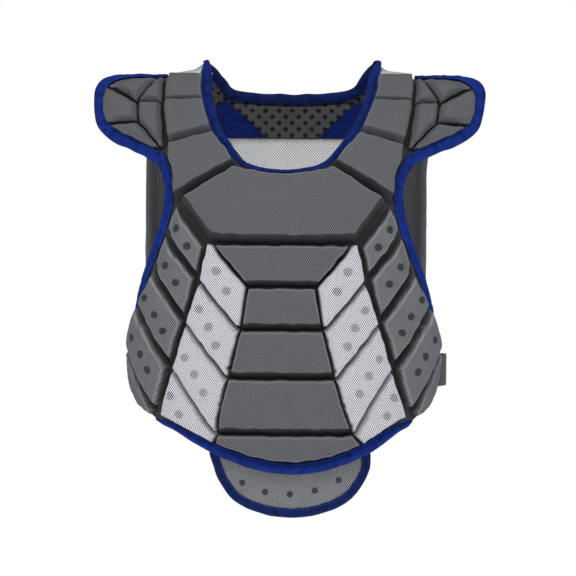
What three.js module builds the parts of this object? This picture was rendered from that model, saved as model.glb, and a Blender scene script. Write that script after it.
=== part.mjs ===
// Softball catcher's chest protector, shown in the shape it has when worn.
// A curved front panel carries separate foam pads: a chest plate, five belly ribs down the
// middle, four mesh ribs and five side ribs on each side, three pads up each shoulder and five
// on each shoulder cap. Cloth tape binds the edges, a small belly flap hangs from the hem, and
// a back panel with a padded neck joins the shoulders and is held by two side straps.
// Millimetres, +Z up, the front faces -Y. The origin is where it rests on the shoulders:
// midway between them, level with the top of the shoulder under the straps.
import * as THREE from "three";

// ---- driving sizes ----
const PANEL_T = 5; // quilted front panel, cloth both sides of thin foam
const CAP_T = 4; // shoulder cap base
const BACK_T = 5; // back panel, spacer mesh
const GAP = 0.35; // left between touching pieces
const PAD_FOOT = PANEL_T + 1.1; // pads are sewn down, so little shows between
const TAPE = { reach: 6, past: 6.5, wall: 1.8, gap: 0.55, gapInside: 2.2 }; // folded round an edge
const COLLAR = { near: 1.9, past: 8, low: -2, high: 8 }; // padded roll round the neck
const STEP = 27; // longest facet along a pad
const FLAP_H = -10; // the flap hangs this far inside the front panel's lining
const FLAP_T = 4;
const STRAP = { height: 40, thick: 2.4, z: -357 }; // side strap
const BUCKLE = { length: 34, height: 48, thick: 9, slotHeight: 41, slotThick: 5 };

// ---- the two wall surfaces ----
// Front lining: a row for each level. v runs up the front over the shoulder, y and z place the
// centre line, r1 is the radius across the front out to s1, r2 the radius round the side, and
// slope lowers the shoulder line outwards.
const FRONT = [
  { v: -560, y: -116, z: -560, r1: 320, s1: 120, r2: 112, slope: 0 },
  { v: -520, y: -120, z: -520, r1: 320, s1: 120, r2: 112, slope: 0 },
  { v: -460, y: -126, z: -460, r1: 310, s1: 120, r2: 108, slope: 0 },
  { v: -400, y: -130, z: -400, r1: 300, s1: 120, r2: 105, slope: 0 },
  { v: -330, y: -132, z: -330, r1: 300, s1: 120, r2: 104, slope: 0 },
  { v: -260, y: -134, z: -260, r1: 300, s1: 120, r2: 106, slope: 0 },
  { v: -190, y: -134, z: -190, r1: 300, s1: 122, r2: 114, slope: 0 },
  { v: -140, y: -124, z: -141, r1: 330, s1: 126, r2: 140, slope: 0 },
  { v: -100, y: -108, z: -105, r1: 400, s1: 135, r2: 190, slope: 0 },
  { v: -62, y: -86, z: -73, r1: 500, s1: 145, r2: 250, slope: 0.1e-4 },
  { v: -30, y: -65, z: -49, r1: 650, s1: 150, r2: 280, slope: 0.2e-4 },
  { v: -5, y: -46, z: -31, r1: 900, s1: 150, r2: 320, slope: 0.1e-4 },
  { v: 20, y: -26, z: -14, r1: 1500, s1: 150, r2: 400, slope: -0.3e-4 },
  { v: 45, y: -5, z: -2, r1: 3000, s1: 150, r2: 600, slope: -0.4e-4 },
  { v: 68, y: 16, z: 2, r1: 3000, s1: 150, r2: 600, slope: 0.2e-4 },
  { v: 90, y: 38, z: -2, r1: 3000, s1: 150, r2: 600, slope: 0.5e-4 },
];
// Back lining: v runs down the back from the shoulder seam.
const BACK = [
  { v: -20, y: -13, z: 25, r1: 3000, s1: 120, r2: 900, slope: 4.6e-4 },
  { v: 0, y: 6, z: 25, r1: 2500, s1: 120, r2: 800, slope: 4.6e-4 },
  { v: 30, y: 35, z: 19, r1: 1500, s1: 120, r2: 500, slope: 4.2e-4 },
  { v: 60, y: 61, z: 3, r1: 900, s1: 120, r2: 320, slope: 3.2e-4 },
  { v: 90, y: 80, z: -20, r1: 600, s1: 120, r2: 230, slope: 1.8e-4 },
  { v: 130, y: 96, z: -57, r1: 400, s1: 120, r2: 170, slope: 0.6e-4 },
  { v: 180, y: 106, z: -106, r1: 340, s1: 120, r2: 150, slope: 0 },
  { v: 240, y: 110, z: -166, r1: 320, s1: 120, r2: 150, slope: 0 },
  { v: 320, y: 108, z: -246, r1: 320, s1: 120, r2: 150, slope: 0 },
  { v: 400, y: 103, z: -326, r1: 320, s1: 120, r2: 150, slope: 0 },
  { v: 480, y: 98, z: -406, r1: 320, s1: 120, r2: 150, slope: 0 },
];

// ---- outlines, on the wearer's left half (u > 0); the right half mirrors them ----
// Front panel: a row for each level, from the hem to the shoulder end: inner and outer edge.
const PANEL_ROWS = [
  { v: -468, inner: 0, outer: 12 },
  { v: -465.5, inner: 0, outer: 30 },
  { v: -458.5, inner: 0, outer: 58 },
  { v: -451, inner: 0, outer: 78 },
  { v: -435, inner: 0, outer: 111 },
  { v: -422, inner: 0, outer: 137 },
  { v: -418, inner: 0, outer: 149.5 },
  { v: -414, inner: 0, outer: 162 },
  { v: -402, inner: 0, outer: 182 },
  { v: -382, inner: 0, outer: 200 },
  { v: -356, inner: 0, outer: 214.5 },
  { v: -336, inner: 0, outer: 222 },
  { v: -318, inner: 0, outer: 222.5 },
  { v: -305, inner: 0, outer: 218 },
  { v: -286, inner: 0, outer: 208 },
  { v: -267, inner: 0, outer: 195.5 },
  { v: -248, inner: 0, outer: 184 },
  { v: -228, inner: 0, outer: 172 },
  { v: -206, inner: 0, outer: 159.5 },
  { v: -184, inner: 0, outer: 149 },
  { v: -164, inner: 0, outer: 142.5 },
  { v: -148, inner: 0, outer: 140 },
  { v: -132, inner: 0, outer: 139.5 },
  { v: -115.8, inner: 0, outer: 142.5 },
  { v: -114, inner: 20, outer: 143 },
  { v: -109, inner: 38, outer: 145 },
  { v: -103.5, inner: 48.5, outer: 148 },
  { v: -93, inner: 58, outer: 149.5 },
  { v: -77, inner: 69, outer: 144.6 },
  { v: -60, inner: 80, outer: 146.3 },
  { v: -40, inner: 88.5, outer: 148.6 },
  { v: -13, inner: 95.8, outer: 150.6 },
  { v: 10, inner: 99.5, outer: 151 },
  { v: 32, inner: 101.5, outer: 151.2 },
  { v: 48, inner: 102, outer: 151.2 },
  { v: 60, inner: 102, outer: 151.2 },
];
// Shoulder cap base: a row for each spoke from its root at the strap out to its rim.
const CAP_ROWS = [
  { uRoot: 152.1, vRoot: 50, uRim: 160, vRim: 52 },
  { uRoot: 152.1, vRoot: 42, uRim: 190, vRim: 50 },
  { uRoot: 152.1, vRoot: 34, uRim: 212, vRim: 43.6 },
  { uRoot: 152.1, vRoot: 24, uRim: 226.6, vRim: 34 },
  { uRoot: 151.9, vRoot: 10, uRim: 235.5, vRim: 18 },
  { uRoot: 151.5, vRoot: -5, uRim: 237, vRim: 0 },
  { uRoot: 151.1, vRoot: -20, uRim: 237.5, vRim: -18 },
  { uRoot: 150.3, vRoot: -32, uRim: 234.5, vRim: -36 },
  { uRoot: 149.3, vRoot: -43, uRim: 224.5, vRim: -50.5 },
  { uRoot: 148.2, vRoot: -54, uRim: 209, vRim: -61.6 },
  { uRoot: 147.0, vRoot: -64, uRim: 191, vRim: -71 },
  { uRoot: 146.2, vRoot: -72, uRim: 174, vRim: -81 },
  { uRoot: 146.2, vRoot: -79, uRim: 161, vRim: -89.5 },
  { uRoot: 148.4, vRoot: -85, uRim: 154, vRim: -93.5 },
];
// Back panel: inner edge is the neckline, then the centre line.
const BACK_ROWS = [
  { v: 0, inner: 105, outer: 150 },
  { v: 18, inner: 102.5, outer: 150.5 },
  { v: 36, inner: 98, outer: 152 },
  { v: 56, inner: 92, outer: 155.5 },
  { v: 70, inner: 85.5, outer: 159.2 },
  { v: 78, inner: 78, outer: 161.6 },
  { v: 83, inner: 67, outer: 163.4 },
  { v: 86, inner: 48, outer: 164.6 },
  { v: 87.6, inner: 24, outer: 165.2 },
  { v: 88, inner: 0, outer: 165.4 },
  { v: 98, inner: 0, outer: 169.6 },
  { v: 110, inner: 0, outer: 174 },
  { v: 130, inner: 0, outer: 181 },
  { v: 160, inner: 0, outer: 188.5 },
  { v: 200, inner: 0, outer: 192 },
  { v: 260, inner: 0, outer: 193 },
  { v: 330, inner: 0, outer: 192.5 },
  { v: 400, inner: 0, outer: 191 },
  { v: 446, inner: 0, outer: 188 },
  { v: 460, inner: 0, outer: 178 },
];
const FLAP_ROWS = [
  { v: -524, inner: 0, outer: 14 },
  { v: -521, inner: 0, outer: 31 },
  { v: -515.5, inner: 0, outer: 49 },
  { v: -508, inner: 0, outer: 65 },
  { v: -499, inner: 0, outer: 75 },
  { v: -489.5, inner: 0, outer: 82.3 },
  { v: -479, inner: 0, outer: 88.3 },
  { v: -468, inner: 0, outer: 92.3 },
  { v: -455, inner: 0, outer: 94.6 },
  { v: -450, inner: 0, outer: 94.8 },
  { v: -436, inner: 0, outer: 94 },
  { v: -424, inner: 0, outer: 92 },
];

// ---- pads ----
// A row for each section of a pad: its line from (ua, va) to (ub, vb) on the pattern.
// top is the height of its face above the lining, bevel the slope of its edge.
const CENTRE_PADS = {
  chest_plate: {
    top: 24,
    bevel: 6,
    rows: [
      { ua: 117, va: -158, ub: 118.5, vb: -150.5 },
      { ua: 101, va: -179, ub: 87, vb: -131.5 },
      { ua: 85, va: -199, ub: 57.5, vb: -113.8 },
      { ua: 42, va: -201, ub: 30, vb: -119.8 },
      { ua: 0, va: -201.4, ub: 0, vb: -123.6 },
    ],
  },
  belly_rib_5: {
    top: 20,
    bevel: 5,
    rows: [
      { ua: 83.5, va: -440.5, ub: 77, vb: -428.6 },
      { ua: 68, va: -446.5, ub: 58, vb: -428.6 },
      { ua: 48, va: -453.5, ub: 40, vb: -428.6 },
      { ua: 25, va: -458.5, ub: 20, vb: -428.6 },
      { ua: 0, va: -460.4, ub: 0, vb: -428.6 },
    ],
  },
};
// Belly ribs 1 to 4: top and bottom edge and half width at each.
const RIBS = [
  { name: "belly_rib_1", vTop: -203.6, halfTop: 76.6, vBottom: -251.2, halfBottom: 37.6 },
  { name: "belly_rib_2", vTop: -253.6, halfTop: 37.4, vBottom: -302, halfBottom: 45.4 },
  { name: "belly_rib_3", vTop: -304.4, halfTop: 45.8, vBottom: -360.2, halfBottom: 59.4 },
  { name: "belly_rib_4", vTop: -362.6, halfTop: 60, vBottom: -426.2, halfBottom: 76.6 },
];
const SIDE_PADS = {
  mesh_rib_1: {
    top: 22,
    bevel: 4,
    rows: [
      { ua: 80.2, va: -204.6, ub: 84.4, vb: -202.6 },
      { ua: 60.5, va: -228.4, ub: 89.4, vb: -223 },
      { ua: 40.4, va: -252.6, ub: 93.4, vb: -244.4 },
      { ua: 43.6, va: -276, ub: 71.6, vb: -272.2 },
      { ua: 47.2, va: -299, ub: 50.6, vb: -298 },
    ],
  },
  mesh_rib_2: {
    top: 22,
    bevel: 4,
    rows: [
      { ua: 95.2, va: -248.4, ub: 110.4, vb: -294.6 },
      { ua: 71.8, va: -276.6, ub: 86, vb: -327 },
      { ua: 48.6, va: -304.6, ub: 61.6, vb: -358.6 },
    ],
  },
  mesh_rib_3: {
    top: 22,
    bevel: 4,
    rows: [
      { ua: 111.6, va: -298.6, ub: 126.4, vb: -348.8 },
      { ua: 87.2, va: -330.4, ub: 102.6, vb: -386.8 },
      { ua: 62.8, va: -362.6, ub: 78.6, vb: -424.6 },
    ],
  },
  mesh_rib_4: {
    top: 20,
    bevel: 4,
    rows: [
      { ua: 127.6, va: -353, ub: 144.4, vb: -408.4 },
      { ua: 103.6, va: -390.8, ub: 124.5, vb: -418.4 },
      { ua: 80, va: -428.6, ub: 88.6, vb: -438 },
    ],
  },
  side_rib_1: {
    top: 18,
    bevel: 5,
    rows: [
      { ua: 129.1, va: -156.1, ub: 140.7, vb: -185.9 },
      { ua: 108.8, va: -182.4, ub: 120.2, vb: -214 },
      { ua: 91.4, va: -204.4, ub: 99.6, vb: -238.4 },
    ],
  },
  side_rib_2: {
    top: 18,
    bevel: 5,
    rows: [
      { ua: 143.7, va: -191.7, ub: 158.6, vb: -226.5 },
      { ua: 121.6, va: -218.8, ub: 135, vb: -261 },
      { ua: 102.2, va: -241.6, ub: 114.6, vb: -289 },
    ],
  },
  side_rib_3: {
    top: 18,
    bevel: 5,
    rows: [
      { ua: 160.9, va: -232.8, ub: 186.2, vb: -267.2 },
      { ua: 138.2, va: -264.4, ub: 157.8, vb: -310 },
      { ua: 117, va: -293, ub: 132.6, vb: -343.8 },
    ],
  },
  side_rib_4: {
    top: 18,
    bevel: 5,
    rows: [
      { ua: 189.5, va: -272.9, ub: 213.2, vb: -319 },
      { ua: 160.6, va: -312.2, ub: 182, vb: -362 },
      { ua: 135.2, va: -348.4, ub: 150.6, vb: -400.6 },
    ],
  },
  side_rib_5: {
    top: 15,
    bevel: 4,
    rows: [
      { ua: 212.2, va: -329, ub: 213.4, vb: -336 },
      { ua: 198, va: -347.4, ub: 206, vb: -356.6 },
      { ua: 182.2, va: -368, ub: 196, vb: -382 },
      { ua: 167, va: -388, ub: 180.5, vb: -398 },
      { ua: 157.4, va: -401.4, ub: 164.4, vb: -406 },
    ],
  },
  shoulder_pad_1: {
    top: 23,
    bevel: 5,
    rows: [
      { ua: 128.6, va: -151, ub: 56, vb: -109.6 },
      { ua: 131.5, va: -124, ub: 66.8, vb: -92 },
      { ua: 139, va: -97, ub: 77, vb: -79 },
      { ua: 141, va: -82.4, ub: 86.4, vb: -67.2 },
    ],
  },
  shoulder_pad_2: {
    top: 23,
    bevel: 5,
    rows: [
      { ua: 139.6, va: -78.4, ub: 88, vb: -63.4 },
      { ua: 146.4, va: -46, ub: 96.6, vb: -39 },
      { ua: 149.8, va: -14.6, ub: 102.8, vb: -15.4 },
    ],
  },
  shoulder_pad_3: {
    top: 21,
    bevel: 5,
    rows: [
      { ua: 150.4, va: -11.8, ub: 104.2, vb: -12.6 },
      { ua: 151.2, va: 14, ub: 108, vb: 14 },
      { ua: 151.2, va: 43.6, ub: 109.6, vb: 43.6 },
    ],
  },
  cap_outer_1: {
    top: 17,
    bevel: 4,
    rows: [
      { ua: 164, va: 34, ub: 172.5, vb: 42 },
      { ua: 173.6, va: 20, ub: 193.5, vb: 40 },
      { ua: 181, va: 7.6, ub: 211, vb: 34 },
      { ua: 187, va: -4.8, ub: 223, vb: 24 },
    ],
  },
  cap_outer_2: {
    top: 18,
    bevel: 4,
    rows: [
      { ua: 187.6, va: -8, ub: 225.2, vb: 19.8 },
      { ua: 185.8, va: -17, ub: 229.4, vb: 1 },
      { ua: 185.4, va: -29, ub: 230, vb: -18 },
      { ua: 183.4, va: -39.6, ub: 225, vb: -36.4 },
    ],
  },
  cap_outer_3: {
    top: 17,
    bevel: 4,
    rows: [
      { ua: 183, va: -42.4, ub: 219.6, vb: -43.4 },
      { ua: 174.6, va: -54, ub: 203, vb: -54.6 },
      { ua: 165.2, va: -67.4, ub: 185, vb: -65.8 },
      { ua: 155, va: -80.6, ub: 161.4, vb: -79.6 },
    ],
  },
  cap_inner_1: {
    top: 19,
    bevel: 4,
    rows: [
      { ua: 155.6, va: 29, ub: 160, vb: 29.4 },
      { ua: 155.6, va: 8, ub: 172.8, vb: 12.6 },
      { ua: 155.4, va: -9.8, ub: 181.8, vb: -5.4 },
    ],
  },
  cap_inner_2: {
    top: 19,
    bevel: 4,
    rows: [
      { ua: 155.2, va: -13.6, ub: 182.2, vb: -8.8 },
      { ua: 153.8, va: -34, ub: 182.4, vb: -26 },
      { ua: 152, va: -54, ub: 179.4, vb: -42.6 },
      { ua: 150.4, va: -68, ub: 164, vb: -63 },
      { ua: 149.4, va: -78, ub: 152.6, vb: -78.8 },
    ],
  },
};

// ---- helpers ----
// A table's value at v, by a smooth curve through its rows.
function rowAt(table, key, v) {
  const n = table.length;
  v = Math.min(Math.max(v, table[0].v), table[n - 1].v);
  let i = 0;
  while (i < n - 2 && v >= table[i + 1].v) i++;
  const slopeAt = (j) => {
    const a = table[Math.max(j - 1, 0)],
      b = table[Math.min(j + 1, n - 1)];
    return (b[key] - a[key]) / (b.v - a.v);
  };
  const p = table[i],
    q = table[i + 1],
    h = q.v - p.v,
    t = (v - p.v) / h;
  return (
    (2 * t ** 3 - 3 * t ** 2 + 1) * p[key] +
    (t ** 3 - 2 * t ** 2 + t) * h * slopeAt(i) +
    (3 * t ** 2 - 2 * t ** 3) * q[key] +
    (t ** 3 - t ** 2) * h * slopeAt(i + 1)
  );
}
function wallPoint(table, side, u, v) {
  const r1 = rowAt(table, "r1", v),
    s1 = rowAt(table, "s1", v),
    r2 = rowAt(table, "r2", v);
  const s = Math.abs(u),
    a = Math.min(s, s1) / r1,
    b = s1 / r1 + Math.max(s - s1, 0) / r2,
    far = s > s1;
  const x = r1 * Math.sin(a) + (far ? r2 * (Math.sin(b) - Math.sin(a)) : 0);
  const y = r1 * (1 - Math.cos(a)) + (far ? r2 * (Math.cos(a) - Math.cos(b)) : 0);
  return new THREE.Vector3(
    Math.sign(u) * x,
    rowAt(table, "y", v) + side * y,
    rowAt(table, "z", v) - rowAt(table, "slope", v) * x * x,
  );
}
// Maps a pattern point (u, v), h above the lining, on to the front or the back wall.
const wall = (table, side) => (u, v, h) => {
  const d = 0.5;
  const du = wallPoint(table, side, u + d, v).sub(wallPoint(table, side, u - d, v));
  const dv = wallPoint(table, side, u, v + d).sub(wallPoint(table, side, u, v - d));
  const n = du.cross(dv).normalize();
  return wallPoint(table, side, u, v).addScaledVector(n, h);
};
const front = wall(FRONT, 1);
const back = wall(BACK, -1);

function geometryOf(points, triangles) {
  const g = new THREE.BufferGeometry();
  g.setAttribute("position", new THREE.Float32BufferAttribute(points.flatMap((p) => [p.x, p.y, p.z]), 3));
  g.setIndex(triangles.flat());
  return g;
}
const root = new THREE.Group();
const MATERIALS = {
  grey_cloth: { color: 0x5b5c60, roughness: 0.85 },
  light_mesh: { color: 0xc9cacc, roughness: 0.85 },
  side_mesh: { color: 0x66676b, roughness: 0.85 },
  dark_mesh: { color: 0x262627, roughness: 0.9 },
  blue_tape: { color: 0x172f78, roughness: 0.7 },
  flap_mesh: { color: 0x7c7d81, roughness: 0.85 },
  strap_web: { color: 0x3f4043, roughness: 0.8 },
  buckle: { color: 0x1c1c1e, roughness: 0.5 },
};
function add(name, slot, geometry) {
  const mesh = new THREE.Mesh(geometry, new THREE.MeshStandardMaterial({ metalness: 0, ...MATERIALS[slot] }));
  mesh.name = name;
  root.add(mesh);
}

// Turns sections into a function of (s, t): s across from a to b, t along the sections.
function loft(rows) {
  const mid = rows.map((r) => [(r.ua + r.ub) / 2, (r.va + r.vb) / 2]);
  const at = [0];
  for (let i = 1; i < rows.length; i++)
    at.push(at[i - 1] + Math.hypot(mid[i][0] - mid[i - 1][0], mid[i][1] - mid[i - 1][1]));
  const length = at[at.length - 1];
  const point = (s, t) => {
    const d = t * length;
    let i = 0;
    while (i < rows.length - 2 && d > at[i + 1]) i++;
    const k = (d - at[i]) / (at[i + 1] - at[i]),
      p = rows[i],
      q = rows[i + 1];
    const ua = p.ua + (q.ua - p.ua) * k,
      va = p.va + (q.va - p.va) * k,
      ub = p.ub + (q.ub - p.ub) * k,
      vb = p.vb + (q.vb - p.vb) * k;
    return { u: ua + (ub - ua) * s, v: va + (vb - va) * s, width: Math.hypot(ub - ua, vb - va) };
  };
  return { point, length, stops: at.map((x) => x / length) };
}
// A foam pad: a flat foot on the panel, a low side wall, then a bevel up to its face.
function padGeometry(rows, foot, top, bevel) {
  const { point, length, stops } = loft(rows);
  const widest = Math.max(...rows.map((r) => Math.hypot(r.ub - r.ua, r.vb - r.va)));
  const ns = Math.max(2, Math.ceil(widest / STEP));
  const ts = [0];
  for (let i = 1; i < stops.length; i++) {
    const n = Math.max(1, Math.ceil(((stops[i] - stops[i - 1]) * length) / STEP));
    for (let k = 1; k <= n; k++) ts.push(stops[i - 1] + ((stops[i] - stops[i - 1]) * k) / n);
  }
  const nt = ts.length - 1;
  // layer 0 is the foot, 1 the top of the side wall, 2 the rim of the face
  const inset = [0, bevel * 0.18, bevel];
  const height = [foot, foot + (top - foot) * 0.55, top];
  const place = (i, j, layer) => {
    const ti = Math.min(inset[layer] / length, 0.3);
    const t = ti + ts[j] * (1 - 2 * ti);
    const w = point(0, t).width,
      si = Math.min(inset[layer] / w, 0.3);
    const p = point(si + (i / ns) * (1 - 2 * si), t);
    return front(p.u, p.v, height[layer]);
  };
  const points = [],
    triangles = [],
    ids = new Map();
  const id = (i, j, layer) => {
    const key = i + "," + j + "," + layer;
    if (!ids.has(key)) {
      ids.set(key, points.length);
      points.push(place(i, j, layer));
    }
    return ids.get(key);
  };
  const quad = (a, b, c, d) => triangles.push([a, b, c], [a, c, d]);
  for (let j = 0; j < nt; j++)
    for (let i = 0; i < ns; i++) {
      quad(id(i, j, 2), id(i + 1, j, 2), id(i + 1, j + 1, 2), id(i, j + 1, 2));
      quad(id(i, j, 0), id(i, j + 1, 0), id(i + 1, j + 1, 0), id(i + 1, j, 0));
    }
  const rim = [];
  for (let i = 0; i < ns; i++) rim.push([i, 0]);
  for (let j = 0; j < nt; j++) rim.push([ns, j]);
  for (let i = ns; i > 0; i--) rim.push([i, nt]);
  for (let j = nt; j > 0; j--) rim.push([0, j]);
  for (let layer = 0; layer < 2; layer++)
    rim.forEach(([i, j], k) => {
      const [i2, j2] = rim[(k + 1) % rim.length];
      quad(id(i, j, layer), id(i2, j2, layer), id(i2, j2, layer + 1), id(i, j, layer + 1));
    });
  return facingOut(points, triangles);
}
function facingOut(points, triangles) {
  let volume = 0;
  for (const [a, b, c] of triangles)
    volume += points[a].dot(new THREE.Vector3().crossVectors(points[b], points[c]));
  if (volume < 0) triangles = triangles.map(([a, b, c]) => [a, c, b]);
  return geometryOf(points, triangles);
}
// A wall of even cloth: a flat pattern of triangles given thickness on a wall surface.
function sheetGeometry(pattern, map, low, high) {
  const points = [],
    triangles = [],
    n = pattern.points.length;
  for (const [u, v] of pattern.points) points.push(map(u, v, low(u, v)));
  for (const [u, v] of pattern.points) points.push(map(u, v, high(u, v)));
  const edges = new Map();
  for (const [a, b, c] of pattern.triangles) {
    triangles.push([a, c, b], [a + n, b + n, c + n]);
    for (const [p, q] of [[a, b], [b, c], [c, a]]) {
      const back = q + "," + p;
      if (edges.has(back)) edges.delete(back);
      else edges.set(p + "," + q, [p, q]);
    }
  }
  for (const [p, q] of edges.values()) triangles.push([p, q, q + n], [p, q + n, p + n]);
  return facingOut(points, triangles);
}
// Rows across the pattern, with a narrow last cell under the tape where edge is given.
// mirrored adds the other half, sharing the centre line.
function patternOf(rows, cells, mirrored, edge = 0) {
  const points = [],
    triangles = [],
    index = new Map();
  const id = (u, v) => {
    const key = u.toFixed(3) + "," + v.toFixed(3);
    if (!index.has(key)) {
      index.set(key, points.length);
      points.push([u, v]);
    }
    return index.get(key);
  };
  const half = (sign) => {
    for (let j = 0; j + 1 < rows.length; j++)
      for (let i = 0; i < cells; i++) {
        const at = (r, k) => {
          const w = Math.hypot(r.ub - r.ua, r.vb - r.va),
            f = edge && w > 2 * edge ? (k === cells ? 1 : ((1 - edge / w) * k) / (cells - 1)) : k / cells;
          return id(sign * (r.ua + (r.ub - r.ua) * f) + 0, r.va + (r.vb - r.va) * f);
        };
        const a = at(rows[j], i),
          b = at(rows[j], i + 1),
          c = at(rows[j + 1], i + 1),
          d = at(rows[j + 1], i);
        const f = sign > 0 ? ([p, q, r]) => [p, q, r] : ([p, q, r]) => [p, r, q];
        for (const t of [[a, b, c], [a, c, d]]) if (new Set(t).size === 3) triangles.push(f(t));
      }
  };
  half(1);
  if (mirrored) half(-1);
  return { points, triangles };
}
const levels = (rows) => rows.map((r) => ({ ua: r.inner, va: r.v, ub: r.outer, vb: r.v }));
const mirrorRows = (rows) => rows.map((r) => ({ ua: -r.ua, va: r.va, ub: -r.ub, vb: r.vb }));
const wholeRows = (rows) => [...rows, ...mirrorRows(rows).reverse().slice(1)];

// Binding tape: a folded strip whose section is drawn at each station of an edge. A station has
// its place on the edge, the direction out past the edge and the direction off the cloth.
const tapeSection = (thick) => {
  const { reach, past, wall, gap, gapInside } = TAPE,
    low = -wall - gapInside,
    high = thick + wall + gap;
  return [
    [-reach, -gapInside],
    [-reach, low],
    [past - 2.5, low],
    [past, thick / 2],
    [past - 2.5, high],
    [-reach, high],
    [-reach, thick + gap],
    [gap, thick + gap],
    [gap, -gapInside],
  ];
};
const collarSection = () => {
  const { near, past, low, high } = COLLAR;
  return [
    [near, low],
    [past - 3, low],
    [past, low + 3],
    [past, high - 3],
    [past - 3, high],
    [near, high],
  ];
};
function tapeGeometry(stations, closed, section) {
  const m = section.length,
    points = [],
    triangles = [];
  for (const st of stations)
    for (const [a, h] of section)
      points.push(st.at.clone().addScaledVector(st.out, a).addScaledVector(st.off, h));
  const n = stations.length,
    last = closed ? n : n - 1;
  for (let j = 0; j < last; j++)
    for (let i = 0; i < m; i++) {
      const j2 = (j + 1) % n,
        i2 = (i + 1) % m;
      triangles.push([j * m + i, j * m + i2, j2 * m + i2], [j * m + i, j2 * m + i2, j2 * m + i]);
    }
  if (!closed) {
    const flat = THREE.ShapeUtils.triangulateShape(section.map(([a, h]) => new THREE.Vector2(a, h)), []);
    for (const [a, b, c] of flat) {
      triangles.push([a, c, b]);
      triangles.push([a + (n - 1) * m, b + (n - 1) * m, c + (n - 1) * m]);
    }
    // the caps must run against the sides, whichever way the section turns
    const used = new Set(triangles.slice(0, -2 * flat.length).flatMap(([a, b, c]) => [[a, b], [b, c], [c, a]].map(String)));
    const capEdges = triangles.slice(-2 * flat.length);
    if (capEdges.some(([a, b, c]) => [[a, b], [b, c], [c, a]].map(String).some((e) => used.has(e))))
      for (const t of capEdges) [t[1], t[2]] = [t[2], t[1]];
  }
  return facingOut(points, triangles);
}
// Stations along an edge given on the pattern; out points to the right of its direction.
function stationsOn(map, edge, roll = () => 0) {
  const at = edge.map(([u, v]) => map(u, v, 0));
  return edge.map(([u, v], i) => {
    const d = 0.5;
    const du = map(u + d, v, 0).sub(map(u - d, v, 0)),
      dv = map(u, v + d, 0).sub(map(u, v - d, 0));
    const off = du.clone().cross(dv).normalize();
    const along = at[Math.min(i + 1, at.length - 1)].clone().sub(at[Math.max(i - 1, 0)]).normalize();
    const out = along.cross(off).normalize();
    return rolled({ at: at[i], out, off }, roll(u, v));
  });
}
function rolled(st, angle) {
  const c = Math.cos(angle),
    s = Math.sin(angle);
  return {
    at: st.at,
    out: st.out.clone().multiplyScalar(c).addScaledVector(st.off, -s),
    off: st.off.clone().multiplyScalar(c).addScaledVector(st.out, s),
  };
}
const flip = (edge) => edge.map(([u, v]) => [-u, v]).reverse();

// ---- front panel and shoulder caps ----
const flatLow = () => 0;
add("front_panel", "dark_mesh", sheetGeometry(patternOf(levels(PANEL_ROWS), 5, true, 8), front, flatLow, () => PANEL_T));
const capRows = CAP_ROWS.map((r) => ({ ua: r.uRoot, va: r.vRoot, ub: r.uRim, vb: r.vRim }));
for (const [side, rows] of [["left", capRows], ["right", mirrorRows(capRows)]])
  add("shoulder_cap_" + side, "dark_mesh", sheetGeometry(patternOf(rows, 4, false, 8), front, flatLow, () => CAP_T));

// ---- pads ----
for (const [name, p] of Object.entries(CENTRE_PADS))
  add(name, "grey_cloth", padGeometry(wholeRows(p.rows), PAD_FOOT, p.top, p.bevel));
for (const r of RIBS)
  add(
    r.name,
    "grey_cloth",
    padGeometry(
      [
        { ua: -r.halfBottom, va: r.vBottom, ub: -r.halfTop, vb: r.vTop },
        { ua: 0, va: r.vBottom, ub: 0, vb: r.vTop },
        { ua: r.halfBottom, va: r.vBottom, ub: r.halfTop, vb: r.vTop },
      ],
      PAD_FOOT,
      22,
      5,
    ),
  );
for (const [name, p] of Object.entries(SIDE_PADS)) {
  const slot = name.startsWith("mesh") ? "light_mesh" : name.startsWith("side") ? "side_mesh" : "grey_cloth";
  const foot = name.startsWith("cap") ? CAP_T + GAP + 0.15 : PAD_FOOT;
  add(name + "_left", slot, padGeometry(p.rows, foot, p.top, p.bevel));
  add(name + "_right", slot, padGeometry(mirrorRows(p.rows), foot, p.top, p.bevel));
}

// ---- binding on the front ----
const panelEdge = PANEL_ROWS.map((r) => [r.outer, r.v]);
const sideEdge = panelEdge.filter(([u, v]) => v >= -356 && v <= -102);
const capEdge = CAP_ROWS.map((r) => [r.uRim, r.vRim]).reverse();
const sideTape = [...sideEdge, ...capEdge];
const sideStations = stationsOn(front, sideTape);
add("side_binding_left", "blue_tape", tapeGeometry(sideStations, false, tapeSection(PANEL_T)));
add("side_binding_right", "blue_tape", tapeGeometry(stationsOn(front, flip(sideTape)), false, tapeSection(PANEL_T)));
const hemHalf = panelEdge.filter(([u, v]) => v <= -421).map(([u, v]) => [u, v]);
const hemEnd = [[149.5, -418], [162, -414]];
const hemTape = [...flip([...hemHalf, ...hemEnd]), ...hemHalf, ...hemEnd];
add("hem_binding", "blue_tape", tapeGeometry(stationsOn(front, hemTape), false, tapeSection(PANEL_T)));

// ---- neck binding: a roll round the front of the neck hole and one round its back ----
const NECK_FRONT = [
  [0, -115.8],
  [20, -114],
  [38, -109],
  [48.5, -103.5],
  [58, -93],
  [69, -77],
  [80, -60],
  [88.5, -40],
  [96.2, -13],
  [100.8, 10],
];
const NECK_BACK = BACK_ROWS.filter((r) => r.v >= 36 && r.v <= 88).map((r) => [r.inner, r.v]);
const frontCurl = (u) => (Math.PI / 180) * 42 * Math.max(0, 1 - (Math.abs(u) / 62) ** 1.5);
function neckStations() {
  const frontHalf = stationsOn(front, [...flip(NECK_FRONT).slice(0, -1), ...NECK_FRONT].reverse(), frontCurl).slice(
    0,
    NECK_FRONT.length,
  );
  const backAll = [...flip([...NECK_BACK].reverse()), ...[...NECK_BACK].reverse().slice(1)];
  const backHalf = stationsOn(back, backAll).slice(-NECK_BACK.length).reverse();
  return { frontHalf, backHalf };
}
const neck = neckStations();
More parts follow.
